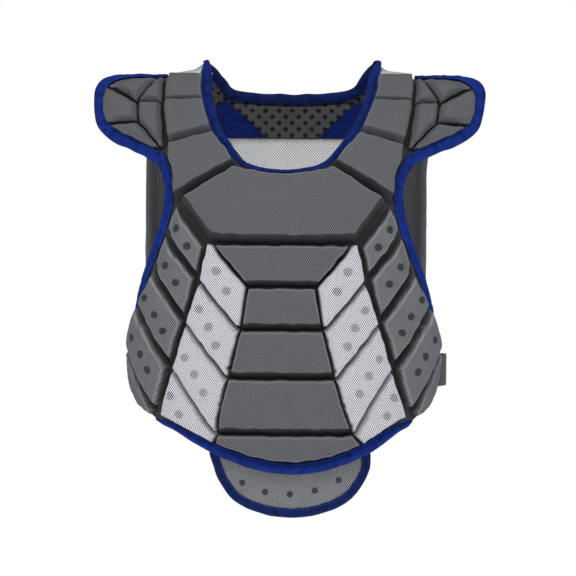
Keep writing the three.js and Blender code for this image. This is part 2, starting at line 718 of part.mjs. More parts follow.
// the two rolls meet at the tip over each shoulder
const tipAt = (y) => ({
  at: new THREE.Vector3(106, y, 21.5),
  out: new THREE.Vector3(-0.97, 0, 0.24).normalize(),
  off: new THREE.Vector3(0.24, 0, 0.97).normalize(),
});
const upToTip = {
  at: new THREE.Vector3(103.4, -11, 5),
  out: new THREE.Vector3(-0.98, 0, 0.15).normalize(),
  off: new THREE.Vector3(0.15, -0.55, 0.8).normalize(),
};
const overShoulder = {
  at: new THREE.Vector3(103.2, 23, 18),
  out: new THREE.Vector3(-0.98, 0, 0.2).normalize(),
  off: new THREE.Vector3(0.2, 0.15, 0.97).normalize(),
};
const neckFront = [...neck.frontHalf.slice().reverse(), upToTip, tipAt(7)];
const neckBack = [tipAt(7.6), overShoulder, ...neck.backHalf];
function resample(stations, step) {
  const key = (k) => new THREE.CatmullRomCurve3(stations.map((s) => s[k]), false, "centripetal");
  const at = key("at");
  at.arcLengthDivisions = 800;
  const n = Math.round(at.getLength() / step);
  const out = [];
  const outCurve = new THREE.CatmullRomCurve3(stations.map((s) => s.out), false, "catmullrom", 0.5);
  const offCurve = new THREE.CatmullRomCurve3(stations.map((s) => s.off), false, "catmullrom", 0.5);
  for (let i = 0; i <= n; i++) {
    const t = at.getUtoTmapping(i / n);
    out.push({ at: at.getPoint(t), out: outCurve.getPoint(t).normalize(), off: offCurve.getPoint(t).normalize() });
  }
  return out;
}
const mirrorStation = (s) => {
  const m = (p) => new THREE.Vector3(-p.x, p.y, p.z);
  return { at: m(s.at), out: m(s.out), off: m(s.off) };
};
const frontRoll = resample(neckFront, 17);
add(
  "neck_binding_front",
  "blue_tape",
  tapeGeometry([...frontRoll.slice(1).reverse(), ...frontRoll.map(mirrorStation)], false, collarSection()),
);
const backRoll = resample(neckBack, 17);
add(
  "neck_binding_back",
  "blue_tape",
  tapeGeometry([...backRoll, ...backRoll.slice(0, -1).reverse().map(mirrorStation)], false, collarSection()),
);

// ---- belly flap, stitched to the lining above the hem ----
const flapLow = (v) => (v > -430 ? -FLAP_T - 1.4 : FLAP_H);
add(
  "belly_flap",
  "flap_mesh",
  sheetGeometry(
    patternOf(levels(FLAP_ROWS), 4, true),
    front,
    (u, v) => flapLow(v),
    (u, v) => flapLow(v) + FLAP_T,
  ),
);
const flapHalf = FLAP_ROWS.filter((r) => r.v < -450).map((r) => [r.outer, r.v]);
const flapTape = [...flip([...flapHalf, [94.7, -453]]), ...flapHalf, [94.7, -453]];
const flapStations = stationsOn(front, flapTape).map((s) => ({ ...s, at: s.at.clone().addScaledVector(s.off, FLAP_H) }));
add("flap_binding", "blue_tape", tapeGeometry(flapStations, false, tapeSection(FLAP_T)));

// ---- back panel: mesh wall, thick where it sits on the shoulder ends of the front ----
const fade = (v) => {
  const t = Math.min(Math.max(v / 46, 0), 1);
  return 1 - t * t * (3 - 2 * t);
};
const yokeDrop = (u, v) => -Math.max(0, 25 - 4.6e-4 * u * u - 7.4) * fade(v);
add("back_panel", "light_mesh", sheetGeometry(patternOf(levels(BACK_ROWS), 5, true, 8), back, yokeDrop, () => BACK_T));


// inside the neck: a dark mesh panel between two cloth gussets, on the back's lining
const LINER_LOW = -3.9,
  LINER_HIGH = -1.5;
const NECK_MESH_ROWS = [
  { v: 92, inner: 62, outer: 79.2 },
  { v: 95, inner: 40, outer: 76.1 },
  { v: 96.8, inner: 0, outer: 74.2 },
  { v: 112, inner: 0, outer: 58.4 },
  { v: 137, inner: 0, outer: 34 },
];
const GUSSET_ROWS = [
  { ua: 86, va: 87, ub: 99, vb: 96 },
  { ua: 60, va: 112, ub: 94, vb: 115 },
  { ua: 35.6, va: 137, ub: 86, vb: 138 },
];
add(
  "neck_mesh",
  "dark_mesh",
  sheetGeometry(patternOf(levels(NECK_MESH_ROWS), 3, true), back, () => LINER_LOW, () => LINER_HIGH),
);
for (const [side, rows] of [["left", GUSSET_ROWS], ["right", mirrorRows(GUSSET_ROWS)]])
  add(
    "neck_gusset_" + side,
    "blue_tape",
    sheetGeometry(patternOf(rows, 3, false), back, () => LINER_LOW, () => LINER_HIGH),
  );
const backHalf = BACK_ROWS.filter((r) => r.v >= 56).map((r) => [r.outer, r.v]);
const backEnd = BACK_ROWS[BACK_ROWS.length - 1];
const backBottom = [4, 3, 2, 1].map((k) => [((backEnd.outer - 8) * k) / 4, backEnd.v]);
const backLoop = [...backHalf, ...backBottom, [0, backEnd.v], ...flip([...backHalf, ...backBottom])];
add("back_binding", "grey_cloth", tapeGeometry(stationsOn(back, backLoop), false, tapeSection(BACK_T)));

// ---- side straps, and a plain buckle on each behind the back panel ----
const strapRoute = [
  front(188, -352, -7),
  front(206, -352, -7),
  front(221, -352, -7.2),
  new THREE.Vector3(176, -16, 0),
  new THREE.Vector3(187, -1, 0),
  new THREE.Vector3(194.5, 16, 0),
  new THREE.Vector3(195, 32, 0),
  back(192, 422, 11.4),
  back(172, 422, 11),
  back(150, 422, 10.8),
  back(128, 422, 10.8),
  back(112, 422, 10),
];
for (const [side, sign] of [["left", 1], ["right", -1]]) {
  const plan = new THREE.CatmullRomCurve3(
    strapRoute.map((p) => new THREE.Vector3(sign * p.x, p.y, STRAP.z)),
    false,
    "centripetal",
  );
  const { height, thick } = STRAP;
  const steps = 26,
    points = [],
    triangles = [];
  for (let i = 0; i <= steps; i++) {
    const c = plan.getPointAt(i / steps),
      t = plan.getTangentAt(i / steps);
    const out = new THREE.Vector3(t.y, -t.x, 0).normalize().multiplyScalar(thick / 2);
    for (const [a, b] of [[-1, -1], [1, -1], [1, 1], [-1, 1]])
      points.push(c.clone().addScaledVector(out, a).add(new THREE.Vector3(0, 0, (b * height) / 2)));
  }
  for (let i = 0; i < steps; i++)
    for (let k = 0; k < 4; k++) {
      const a = 4 * i + k,
        b = 4 * i + ((k + 1) % 4);
      triangles.push([a, b, b + 4], [a, b + 4, a + 4]);
    }
  const e = 4 * steps;
  triangles.push([0, 2, 1], [0, 3, 2], [e, e + 1, e + 2], [e, e + 2, e + 3]);
  add("side_strap_" + side, "strap_web", facingOut(points, triangles));

  const at = back(sign * 150, 422, 10.8),
    ahead = back(sign * 151, 422, 10.8).sub(back(sign * 149, 422, 10.8));
  const box = (w, h) => [
    new THREE.Vector2(-w / 2, -h / 2),
    new THREE.Vector2(w / 2, -h / 2),
    new THREE.Vector2(w / 2, h / 2),
    new THREE.Vector2(-w / 2, h / 2),
  ];
  const { length, slotHeight, slotThick } = BUCKLE;
  const ring = new THREE.Shape(box(BUCKLE.thick, BUCKLE.height));
  ring.holes.push(new THREE.Path(box(slotThick, slotHeight)));
  const g = new THREE.ExtrudeGeometry(ring, { depth: length, bevelEnabled: false }).translate(0, 0, -length / 2);
  const along = ahead.setZ(0).normalize(),
    up = new THREE.Vector3(0, 0, 1);
  g.applyMatrix4(new THREE.Matrix4().makeBasis(new THREE.Vector3().crossVectors(up, along), up, along));
  g.translate(at.x, at.y, STRAP.z);
  g.deleteAttribute("normal");
  g.deleteAttribute("uv");
  add("side_buckle_" + side, "buckle", g);
}

export default root;
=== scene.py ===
"""Looks of a softball catcher's chest protector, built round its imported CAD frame.

Every piece is made on the same two wall surfaces as the CAD part: a point of the flat pattern
(u across, v up the front or down the back) and a height above the lining. Millimetres until a
mesh is made, then metres.
"""

import math

import bpy
import numpy as np
from mathutils import Matrix, Vector


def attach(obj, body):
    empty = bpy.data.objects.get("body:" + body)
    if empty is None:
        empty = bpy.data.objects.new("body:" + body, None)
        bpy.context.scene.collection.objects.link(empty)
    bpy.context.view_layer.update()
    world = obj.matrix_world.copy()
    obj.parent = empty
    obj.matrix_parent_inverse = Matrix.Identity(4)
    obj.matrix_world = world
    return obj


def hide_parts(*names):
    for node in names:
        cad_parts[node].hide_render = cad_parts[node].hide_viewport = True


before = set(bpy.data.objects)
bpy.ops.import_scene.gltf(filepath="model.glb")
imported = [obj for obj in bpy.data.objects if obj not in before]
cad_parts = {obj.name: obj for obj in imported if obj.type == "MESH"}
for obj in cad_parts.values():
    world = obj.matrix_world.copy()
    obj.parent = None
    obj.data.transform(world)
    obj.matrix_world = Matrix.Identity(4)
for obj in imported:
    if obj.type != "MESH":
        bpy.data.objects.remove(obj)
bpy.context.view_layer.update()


# ---- camera ----
def photo_camera():
    az, el, roll, away = math.radians(1.5), math.radians(1.0), math.radians(0.4), 3.0
    behind = Vector((math.sin(az) * math.cos(el), -math.cos(az) * math.cos(el), math.sin(el)))
    right = Vector((math.cos(az), math.sin(az), 0))
    up = behind.cross(right)
    across = right * math.cos(roll) + up * math.sin(roll)
    above = up * math.cos(roll) - right * math.sin(roll)
    place = Vector((0, -0.060, -0.255)) + behind * away
    data = bpy.data.cameras.new("photo_camera")
    data.sensor_width = 36
    data.lens = 153.69
    data.clip_start, data.clip_end = 0.1, 30
    o = bpy.data.objects.new("photo_camera", data)
    bpy.context.scene.collection.objects.link(o)
    o.matrix_world = Matrix(
        (
            (across.x, above.x, behind.x, place.x),
            (across.y, above.y, behind.y, place.y),
            (across.z, above.z, behind.z, place.z),
            (0, 0, 0, 1),
        )
    )
    bpy.context.scene.camera = o


photo_camera()

# ---- the wall surfaces: v, y, z, r1, s1, r2, slope ----
FRONT = np.array(
    [
        (-560, -116, -560, 320, 120, 112, 0),
        (-520, -120, -520, 320, 120, 112, 0),
        (-460, -126, -460, 310, 120, 108, 0),
        (-400, -130, -400, 300, 120, 105, 0),
        (-330, -132, -330, 300, 120, 104, 0),
        (-260, -134, -260, 300, 120, 106, 0),
        (-190, -134, -190, 300, 122, 114, 0),
        (-140, -124, -141, 330, 126, 140, 0),
        (-100, -108, -105, 400, 135, 190, 0),
        (-62, -86, -73, 500, 145, 250, 0.1e-4),
        (-30, -65, -49, 650, 150, 280, 0.2e-4),
        (-5, -46, -31, 900, 150, 320, 0.1e-4),
        (20, -26, -14, 1500, 150, 400, -0.3e-4),
        (45, -5, -2, 3000, 150, 600, -0.4e-4),
        (68, 16, 2, 3000, 150, 600, 0.2e-4),
        (90, 38, -2, 3000, 150, 600, 0.5e-4),
    ],
    float,
)
BACK = np.array(
    [
        (-20, -13, 25, 3000, 120, 900, 4.6e-4),
        (0, 6, 25, 2500, 120, 800, 4.6e-4),
        (30, 35, 19, 1500, 120, 500, 4.2e-4),
        (60, 61, 3, 900, 120, 320, 3.2e-4),
        (90, 80, -20, 600, 120, 230, 1.8e-4),
        (130, 96, -57, 400, 120, 170, 0.6e-4),
        (180, 106, -106, 340, 120, 150, 0),
        (240, 110, -166, 320, 120, 150, 0),
        (320, 108, -246, 320, 120, 150, 0),
        (400, 103, -326, 320, 120, 150, 0),
        (480, 98, -406, 320, 120, 150, 0),
    ],
    float,
)


def table(t, c, v):
    x, y = t[:, 0], t[:, c]
    v = np.clip(v, x[0], x[-1])
    m = np.empty(len(x))
    m[1:-1] = (y[2:] - y[:-2]) / (x[2:] - x[:-2])
    m[0] = (y[1] - y[0]) / (x[1] - x[0])
    m[-1] = (y[-1] - y[-2]) / (x[-1] - x[-2])
    i = np.clip(np.searchsorted(x, v, side="right") - 1, 0, len(x) - 2)
    h = x[i + 1] - x[i]
    k = (v - x[i]) / h
    return (
        (2 * k**3 - 3 * k**2 + 1) * y[i]
        + (k**3 - 2 * k**2 + k) * h * m[i]
        + (3 * k**2 - 2 * k**3) * y[i + 1]
        + (k**3 - k**2) * h * m[i + 1]
    )


def wall_point(t, side, u, v):
    y0, z0, r1, s1, r2, slope = (table(t, c, v) for c in range(1, 7))
    s = np.abs(u)
    a = np.minimum(s, s1) / r1
    t1 = s1 / r1
    b = t1 + np.maximum(s - s1, 0) / r2
    far = s > s1
    x = r1 * np.sin(a) + np.where(far, r2 * (np.sin(b) - np.sin(t1)), 0)
    y = r1 * (1 - np.cos(a)) + np.where(far, r2 * (np.cos(t1) - np.cos(b)), 0)
    return np.stack([np.sign(u) * x, y0 + side * y, z0 - slope * x * x], -1)


def normal(t, side, u, v):
    d = 0.5
    n = np.cross(
        wall_point(t, side, u + d, v) - wall_point(t, side, u - d, v),
        wall_point(t, side, u, v + d) - wall_point(t, side, u, v - d),
    )
    return n / np.linalg.norm(n, axis=-1, keepdims=True)


def front(u, v, h=0.0):
    u, v = np.asarray(u, float), np.asarray(v, float)
    h = np.broadcast_to(np.asarray(h, float), u.shape)
    return wall_point(FRONT, 1, u, v) + h[..., None] * normal(FRONT, 1, u, v)


def back(u, v, h=0.0):
    u, v = np.asarray(u, float), np.asarray(v, float)
    h = np.broadcast_to(np.asarray(h, float), u.shape)
    return wall_point(BACK, -1, u, v) + h[..., None] * normal(BACK, -1, u, v)


# the worn panel doesn't hang quite straight: its lower half sits a little to one side
SWAY_Z = np.array([-560, -470, -440, -415, -380, -300, -160, -130, -100, -70, -40, 0, 30.0])
SWAY_X = np.array([6, 7, 3, -3, -5, -5, -5, -5, -4, -3, -2.2, -0.6, 2.5])


def swayed(p, amount=1.0):
    p = np.array(p, float)
    p[..., 0] += amount * np.interp(p[..., 2], SWAY_Z, SWAY_X)
    return p


def behind_sway(p):
    """The back panel hangs a little to one side too, and its sides draw in."""
    p = np.array(p, float)
    k = smoothstep(-p[..., 2], 45, 110)
    p[..., 0] = p[..., 0] * (1 - 0.034 * k) - 6 * k
    return p


def ripple(u, v, seed, size, waves=6):
    """Smooth irregular waves of about that length, about 1 high."""
    r = np.random.default_rng(seed)
    out = 0
    for _ in range(waves):
        a, f, p = r.uniform(0, 2 * np.pi), 2 * np.pi / (size * r.uniform(0.7, 1.5)), r.uniform(0, 6.3)
        out = out + np.sin(f * (u * np.cos(a) + v * np.sin(a)) + p)
    return out / waves**0.5


# ---- meshes ----
def mesh_object(name, verts, quads, uv, attrs=(), faces_material=None, smooth=True):
    me = bpy.data.meshes.new(name)
    verts = np.asarray(verts, float).reshape(-1, 3)
    quads = np.asarray(quads, np.int32).reshape(-1, 4)
    me.vertices.add(len(verts))
    me.vertices.foreach_set("co", (verts * 0.001).astype(np.float32).ravel())
    me.loops.add(4 * len(quads))
    me.loops.foreach_set("vertex_index", quads.ravel())
    me.polygons.add(len(quads))
    me.polygons.foreach_set("loop_start", np.arange(0, 4 * len(quads), 4, dtype=np.int32))
    if faces_material is not None:
        me.polygons.foreach_set("material_index", np.asarray(faces_material, np.int32))
    me.polygons.foreach_set("use_smooth", np.full(len(quads), smooth))
    layer = me.uv_layers.new(name="UVMap")
    uv = np.asarray(uv, np.float32).reshape(-1, 2)
    layer.data.foreach_set("uv", uv[quads.ravel()].ravel())
    for key, values in dict(attrs).items():
        a = me.attributes.new(key, "FLOAT", "POINT")
        a.data.foreach_set("value", np.asarray(values, np.float32).ravel())
    me.update(calc_edges=True)
    me.validate()
    o = bpy.data.objects.new(name, me)
    bpy.context.scene.collection.objects.link(o)
    return o


def outward(verts, quads):
    """The quads, turned over if they face into the closed body."""
    a, b, c, d = (verts[quads[:, k]] for k in range(4))
    volume = np.einsum("ij,ij->i", a, np.cross(b, c)).sum() + np.einsum("ij,ij->i", a, np.cross(c, d)).sum()
    return quads if volume > 0 else quads[:, ::-1]


def slab(low, high):
    """A closed body between two grids of points (n, m, 3)."""
    n, m = low.shape[:2]
    verts = np.concatenate([low.reshape(-1, 3), high.reshape(-1, 3)])
    k = np.arange(n * m).reshape(n, m)
    cell = np.stack([k[:-1, :-1], k[1:, :-1], k[1:, 1:], k[:-1, 1:]], -1).reshape(-1, 4)
    rim = np.concatenate([k[0, :-1], k[:-1, -1], k[-1, :0:-1], k[:0:-1, 0]])
    nxt = np.roll(rim, -1)
    top = n * m
    quads = np.concatenate([cell, cell[:, ::-1] + top, np.stack([rim, nxt, nxt + top, rim + top], -1)])
    return verts, outward(verts, quads)


def merged_halves(grid_u, grid_v):
    """One flat pattern of quads from a half grid and its mirror, sharing the centre line."""
    n, m = grid_u.shape
    k = np.arange(n * m).reshape(n, m)
    cell = np.stack([k[:-1, :-1], k[:-1, 1:], k[1:, 1:], k[1:, :-1]], -1).reshape(-1, 4)
    uu = np.concatenate([grid_u.ravel(), -grid_u.ravel()])
    vv = np.concatenate([grid_v.ravel(), grid_v.ravel()])
    quads = np.concatenate([cell, cell[:, ::-1] + n * m])
    keys = np.round(np.stack([uu + 0.0, vv], -1), 3) + 0.0
    uniq, first, inverse = np.unique(keys, axis=0, return_index=True, return_inverse=True)
    return uu[first], vv[first], inverse.reshape(-1)[quads]


def cloth_body(u, v, quads, low, high):
    """Gives a flat pattern of quads thickness: low and high are its two faces (N, 3)."""
    n = len(u)
    verts = np.concatenate([low, high])
    e = np.concatenate([quads[:, [0, 1]], quads[:, [1, 2]], quads[:, [2, 3]], quads[:, [3, 0]]]).astype(np.int64)
    code, rev = e[:, 0] * n + e[:, 1], e[:, 1] * n + e[:, 0]
    edge = e[~np.isin(code, rev)]
    sides = np.stack([edge[:, 1], edge[:, 0], edge[:, 0] + n, edge[:, 1] + n], -1)
    allq = np.concatenate([quads[:, ::-1], quads + n, sides])
    return verts, outward(verts, allq)


def smoothstep(x, a, b):
    t = np.clip((x - a) / (b - a), 0, 1)
    return t * t * (3 - 2 * t)


def spline(points, step):
    """Points about step apart on a centripetal Catmull-Rom curve through the rows of points."""
    p = np.asarray(points, float)
    q = np.concatenate([[2 * p[0] - p[1]], p, [2 * p[-1] - p[-2]]])
    out = []
    for i in range(1, len(q) - 2):
        p0, p1, p2, p3 = q[i - 1 : i + 3]
        d = [max(np.linalg.norm(x[:3]), 1e-6) ** 0.5 for x in (p1 - p0, p2 - p1, p3 - p2)]
        t1, t2, t3 = d[0], d[0] + d[1], d[0] + d[1] + d[2]
        n = 24
        t = t1 + (t2 - t1) * np.arange(n)[:, None] / n
        a1 = (t1 - t) / t1 * p0 + t / t1 * p1
        a2 = (t2 - t) / (t2 - t1) * p1 + (t - t1) / (t2 - t1) * p2
        a3 = (t3 - t) / (t3 - t2) * p2 + (t - t2) / (t3 - t2) * p3
        b1 = (t2 - t) / t2 * a1 + t / t2 * a2
        b2 = (t3 - t) / (t3 - t1) * a2 + (t - t1) / (t3 - t1) * a3
        out.append((t2 - t) / (t2 - t1) * b1 + (t - t1) / (t2 - t1) * b2)
    dense = np.concatenate(out + [p[-1:]])
    along = np.concatenate([[0], np.cumsum(np.linalg.norm(np.diff(dense[:, :3], axis=0), axis=1))])
    n = max(2, round(along[-1] / step))
    at = np.linspace(0, along[-1], n + 1)
    return np.stack([np.interp(at, along, dense[:, c]) for c in range(p.shape[1])], -1)


# ---- materials ----
class Shader:
    """A small builder of procedural materials."""

    def __init__(self, name, roughness, specular=0.3, sheen=0.0):
        self.material = bpy.data.materials.new(name)
        self.material.use_nodes = True
        self.tree = self.material.node_tree
        self.tree.nodes.clear()
        self.out = self.tree.nodes.new("ShaderNodeOutputMaterial")
        self.bsdf = self.tree.nodes.new("ShaderNodeBsdfPrincipled")
        self.bsdf.inputs["Roughness"].default_value = roughness
        self.bsdf.inputs["Specular IOR Level"].default_value = specular
        self.bsdf.inputs["Sheen Weight"].default_value = sheen
        self.tree.links.new(self.bsdf.outputs[0], self.out.inputs[0])
        uv = self.tree.nodes.new("ShaderNodeUVMap")
        uv.uv_map = "UVMap"
        split = self.tree.nodes.new("ShaderNodeSeparateXYZ")
        self.tree.links.new(uv.outputs[0], split.inputs[0])
        self.u, self.v, self.uv = split.outputs[0], split.outputs[1], uv.outputs[0]

    def put(self, socket, value):
        if hasattr(value, "is_output"):
            self.tree.links.new(value, socket)
        elif isinstance(value, tuple):
            socket.default_value = (*value, 1) if len(value) == 3 else value
        else:
            socket.default_value = value

    def math(self, op, *args, clamp=False):
        node = self.tree.nodes.new("ShaderNodeMath")
        node.operation, node.use_clamp = op, clamp
        for socket, value in zip(node.inputs, args):
            self.put(socket, value)
        return node.outputs[0]

    def add(self, a, b):
        return self.math("ADD", a, b)

    def sub(self, a, b):
        return self.math("SUBTRACT", a, b)

    def mul(self, a, b):
        return self.math("MULTIPLY", a, b)

    def wave(self, x, pitch, phase=0.0):
        return self.math("COSINE", self.add(self.mul(x, 2 * math.pi / pitch), phase))

    def step(self, x, a, b):
        node = self.tree.nodes.new("ShaderNodeMapRange")
        node.interpolation_type = "SMOOTHSTEP"
        for key, value in (("Value", x), ("From Min", a), ("From Max", b), ("To Min", 0.0), ("To Max", 1.0)):
            self.put(node.inputs[key], value)
        return node.outputs[0]

    def mix(self, k, a, b):
        node = self.tree.nodes.new("ShaderNodeMix")
        node.data_type = "RGBA"
        self.put(node.inputs["Factor"], k)
        self.put(node.inputs[6], a)
        self.put(node.inputs[7], b)
        return node.outputs[2]

    def attr(self, name):
        node = self.tree.nodes.new("ShaderNodeAttribute")
        node.attribute_name = name
        return node.outputs["Fac"]

    def noise(self, scale, detail=2.0):
        node = self.tree.nodes.new("ShaderNodeTexNoise")
        self.put(node.inputs["Vector"], self.uv)
        node.inputs["Scale"].default_value = scale
        node.inputs["Detail"].default_value = detail
        return node.outputs["Fac"]

    def bump(self, height, distance, strength=1.0):
        node = self.tree.nodes.new("ShaderNodeBump")
        node.inputs["Strength"].default_value = strength
        node.inputs["Distance"].default_value = distance
        self.put(node.inputs["Height"], height)
        self.tree.links.new(node.outputs[0], self.bsdf.inputs["Normal"])

    def colour(self, value):
        self.put(self.bsdf.inputs["Base Color"], value)
        return self.material


def srgb(r, g, b):
    return tuple((x / 255 / 12.92) if x <= 10 else ((x / 255 + 0.055) / 1.055) ** 2.4 for x in (r, g, b))


def lattice(s, across, up):
    """1 on the points of a staggered lattice, -1 between them."""
    return s.mul(s.wave(s.u, across), s.wave(s.v, 2 * up))


def weave_cloth(name, dark, bright, seam, across=2.44, up=1.83, spots=False, spot_colour=None, roughness=0.8):
    s = Shader(name, roughness, 0.25, 0.0)
    w = s.step(lattice(s, across, up), -0.7, 0.7)
    c = s.mix(w, dark, bright)
    if spots:
        near = s.sub(1.0, s.step(s.attr("spot"), 3.9, 5.4))
        c = s.mix(s.mul(near, 0.72), c, spot_colour)
        c = s.mix(s.mul(near, s.step(w, 0.95, 0.4)), c, srgb(10, 10, 12))
    c = s.mix(s.mul(s.noise(0.05, 3.0), 0.22), c, dark)
    flat = tuple(0.5 * (x + y) for x, y in zip(dark, bright))
    # the weave fades to a flat tone under the seam line and painted shade of the pad edges
    c = s.mix(s.mul(s.step(s.attr("seam"), 0.02, 0.4), 0.8), c, flat)
    # a painted highlight along the crest where a pad's edge turns over onto its face
    crest_highlight = s.mul(s.step(s.attr("rim"), 0.2, 1.2), s.sub(1.0, s.step(s.attr("rim"), 1.8, 4.0)))
    c = s.mix(s.mul(crest_highlight, 0.22), c, tuple(min(1, 1.7 * x) for x in bright))
    # the seam line and the painted shade of the pad edges, side walls and undersides
    c = s.mix(s.attr("seam"), c, seam)
    s.bump(w, 0.0004, 0.5)
    return s.colour(c)


def light_cloth(name):
    s = Shader(name, 0.75, 0.3, 0.1)
    w = lattice(s, 2.44, 1.83)
    hole = s.step(w, 0.35, -0.55)
    plain = s.sub(1.0, s.step(s.attr("rim"), 3.4, 4.8))
    spot = s.sub(1.0, s.step(s.attr("spot"), 4.0, 6.2))
    thread, gap, deep = srgb(212, 213, 218), srgb(66, 66, 72), srgb(8, 8, 10)
    wide = s.step(w, 0.3, -0.2)  # the holes of a group are wider and go right through
    c = s.mix(hole, thread, gap)
    c = s.mix(spot, c, s.mix(wide, srgb(186, 187, 192), deep))
    c = s.mix(plain, c, srgb(166, 167, 172))
    # the seam line and the painted shade of the pad edges
    c = s.mix(s.attr("seam"), c, srgb(58, 58, 61))
    s.bump(s.mul(hole, -1.0), 0.0004, 0.5)
    return s.colour(c)


def channel_cloth(name):
    s = Shader(name, 0.85, 0.2, 0.1)
    w = s.add(s.mul(lattice(s, 1.9, 1.4), 0.5), 0.5)
    c = s.mix(w, srgb(30, 30, 32), srgb(56, 56, 59))
    s.bump(w, 0.0003, 0.4)
    return s.colour(c)


def tape_cloth(name, base, dark, light):
    """Woven tape: u runs along it and v across it, from its edge on the front."""
    s = Shader(name, 0.7, 0.1, 0.0)
    twill = s.add(s.mul(s.wave(s.add(s.u, s.mul(s.v, 1.0)), 1.3), 0.5), 0.5)
    c = s.mix(s.mul(twill, 0.5), base, light)
    c = s.mix(s.step(s.noise(0.11, 3.0), 0.42, 0.66), c, s.mix(0.6, base, dark))
    row = s.sub(1.0, s.step(s.math("ABSOLUTE", s.sub(s.v, 2.0)), 0.25, 0.7))
    dash = s.step(s.wave(s.u, 3.6), -0.6, 0.1)
    c = s.mix(s.mul(row, s.sub(1.0, dash)), c, srgb(6, 12, 40))
    c = s.mix(s.mul(s.mul(row, dash), 0.5), c, srgb(52, 78, 150))
    s.bump(s.add(s.mul(twill, 0.25), s.mul(s.mul(row, dash), 0.8)), 0.0004, 0.6)
    return s.colour(c)


def hole_mesh(name, net, line, hole):
    """Knitted mesh with round holes on a staggered lattice and fine diagonal ribs."""
    s = Shader(name, 0.8, 0.25, 0.1)
    row = s.math("ROUND", s.mul(s.v, 1 / 8.4))
    odd = s.math("MODULO", s.math("ABSOLUTE", row), 2.0)
    du = s.sub(s.u, s.mul(odd, 8.5))
    du = s.sub(du, s.mul(s.math("ROUND", s.mul(du, 1 / 17.0)), 17.0))
    dv = s.sub(s.v, s.mul(row, 8.4))
    d = s.math("SQRT", s.add(s.mul(du, du), s.mul(dv, dv)))
    inside = s.sub(1.0, s.step(d, 2.6, 3.5))
    ribs = s.add(s.mul(s.wave(s.sub(s.u, s.v), 3.0), 0.75), s.mul(s.wave(s.add(s.u, s.v), 3.6), 0.25))
    shine = s.add(0.6, s.mul(s.noise(0.05, 2.0), 0.8))
    c = s.mix(s.mul(s.step(ribs, 0.1, 0.7), shine), net, line)
    c = s.mix(inside, c, hole)
    s.bump(s.sub(s.mul(ribs, 0.2), inside), 0.0008, 0.6)
    return s.colour(c)


def flap_cloth(name):
    s = Shader(name, 0.8, 0.25, 0.1)
    w = s.add(s.mul(lattice(s, 2.44, 1.83), 0.5), 0.5)
    w = s.step(w, 0.15, 0.85)
    c = s.mix(w, srgb(52, 53, 57), srgb(140, 141, 146))
    near = s.sub(1.0, s.step(s.attr("spot"), 3.2, 4.8))
    c = s.mix(s.mul(near, 0.75), c, srgb(36, 36, 40))
    c = s.mix(s.mul(near, s.step(w, 0.95, 0.3)), c, srgb(16, 16, 18))
    s.bump(w, 0.0004, 0.5)
    return s.colour(c)


def back_cloth(name):
    """Spacer mesh: pale in the middle, grey towards the sides."""
    s = Shader(name, 0.85, 0.2, 0.1)
    w = s.add(s.mul(lattice(s, 2.44, 1.83), 0.5), 0.5)
    slant = s.add(s.mul(s.wave(s.sub(s.u, s.v), 3.3), 0.5), 0.5)
    pale = s.mix(s.step(s.add(s.mul(slant, 0.85), s.mul(w, 0.15)), 0.15, 0.55), srgb(88, 89, 94), srgb(250, 251, 253))
    w = s.step(w, 0.15, 0.85)
    wale = s.mul(s.add(s.wave(s.u, 4.88), 1.0), 0.12)
    grey = s.mix(s.add(s.mul(w, 0.8), wale), srgb(54, 55, 58), srgb(122, 123, 127))
    side = s.step(s.math("ABSOLUTE", s.u), 119.0, 121.0)
    s.bump(w, 0.0004, 0.5)
    return s.colour(s.mix(side, pale, grey))


def plain_cloth(name, colour, roughness=0.7):
    s = Shader(name, roughness, 0.3, 0.1)
    w = s.add(s.mul(lattice(s, 1.6, 1.2), 0.5), 0.5)
    s.bump(w, 0.0002, 0.4)
    dim = tuple(0.8 * x for x in colour)
    return s.colour(s.mix(w, dim, colour))


def web_cloth(name):
    s = Shader(name, 0.7, 0.3, 0.1)
    rib = s.add(s.mul(s.wave(s.v, 3.2), 0.5), 0.5)
    chev = s.add(s.mul(s.wave(s.add(s.u, s.mul(rib, 1.6)), 2.0), 0.5), 0.5)
    c = s.mix(s.mul(s.add(rib, chev), 0.5), srgb(24, 24, 26), srgb(64, 65, 68))
    s.bump(s.add(rib, s.mul(chev, 0.5)), 0.0005, 0.6)
    return s.colour(c)


def plastic(name):
    s = Shader(name, 0.42, 0.5)
    n = s.noise(0.8, 2.0)
    s.bump(n, 0.0001, 0.3)
    return s.colour(s.mix(n, srgb(22, 22, 24), srgb(30, 30, 32)))


# the third colour of each weave is its seam line and the painted shade at pad edges
GREY = weave_cloth("grey_weave", srgb(38, 39, 42), srgb(112, 113, 118), srgb(40, 40, 42))
# a copy of the side weave with lighter dark threads and seam colour and no dark spots: painted light on the outermost
# side pad, which turns away from the lamps
SIDE_EDGE_LIT = weave_cloth("side_edge_lit_weave", srgb(44, 45, 48), srgb(122, 123, 128), srgb(50, 49, 50))
SHOULDER = weave_cloth("shoulder_weave", srgb(60, 61, 64), srgb(100, 101, 105), srgb(36, 36, 38))
SIDE = weave_cloth("side_weave", srgb(36, 37, 40), srgb(132, 133, 138), srgb(44, 43, 44), 2.44, 1.83, True, srgb(26, 26, 29))
LIGHT = light_cloth("light_mesh_cloth")
CHANNEL = channel_cloth("charcoal_cloth")
BLUE = tape_cloth("blue_tape_cloth", srgb(8, 34, 108), srgb(3, 17, 66), srgb(15, 48, 134))
# a darker copy of the blue tape: painted shade on the front neck band
BLUE_NECK_SHADED = tape_cloth("neck_shaded_blue_tape_cloth", srgb(7, 29, 92), srgb(3, 14, 54), srgb(14, 43, 120))
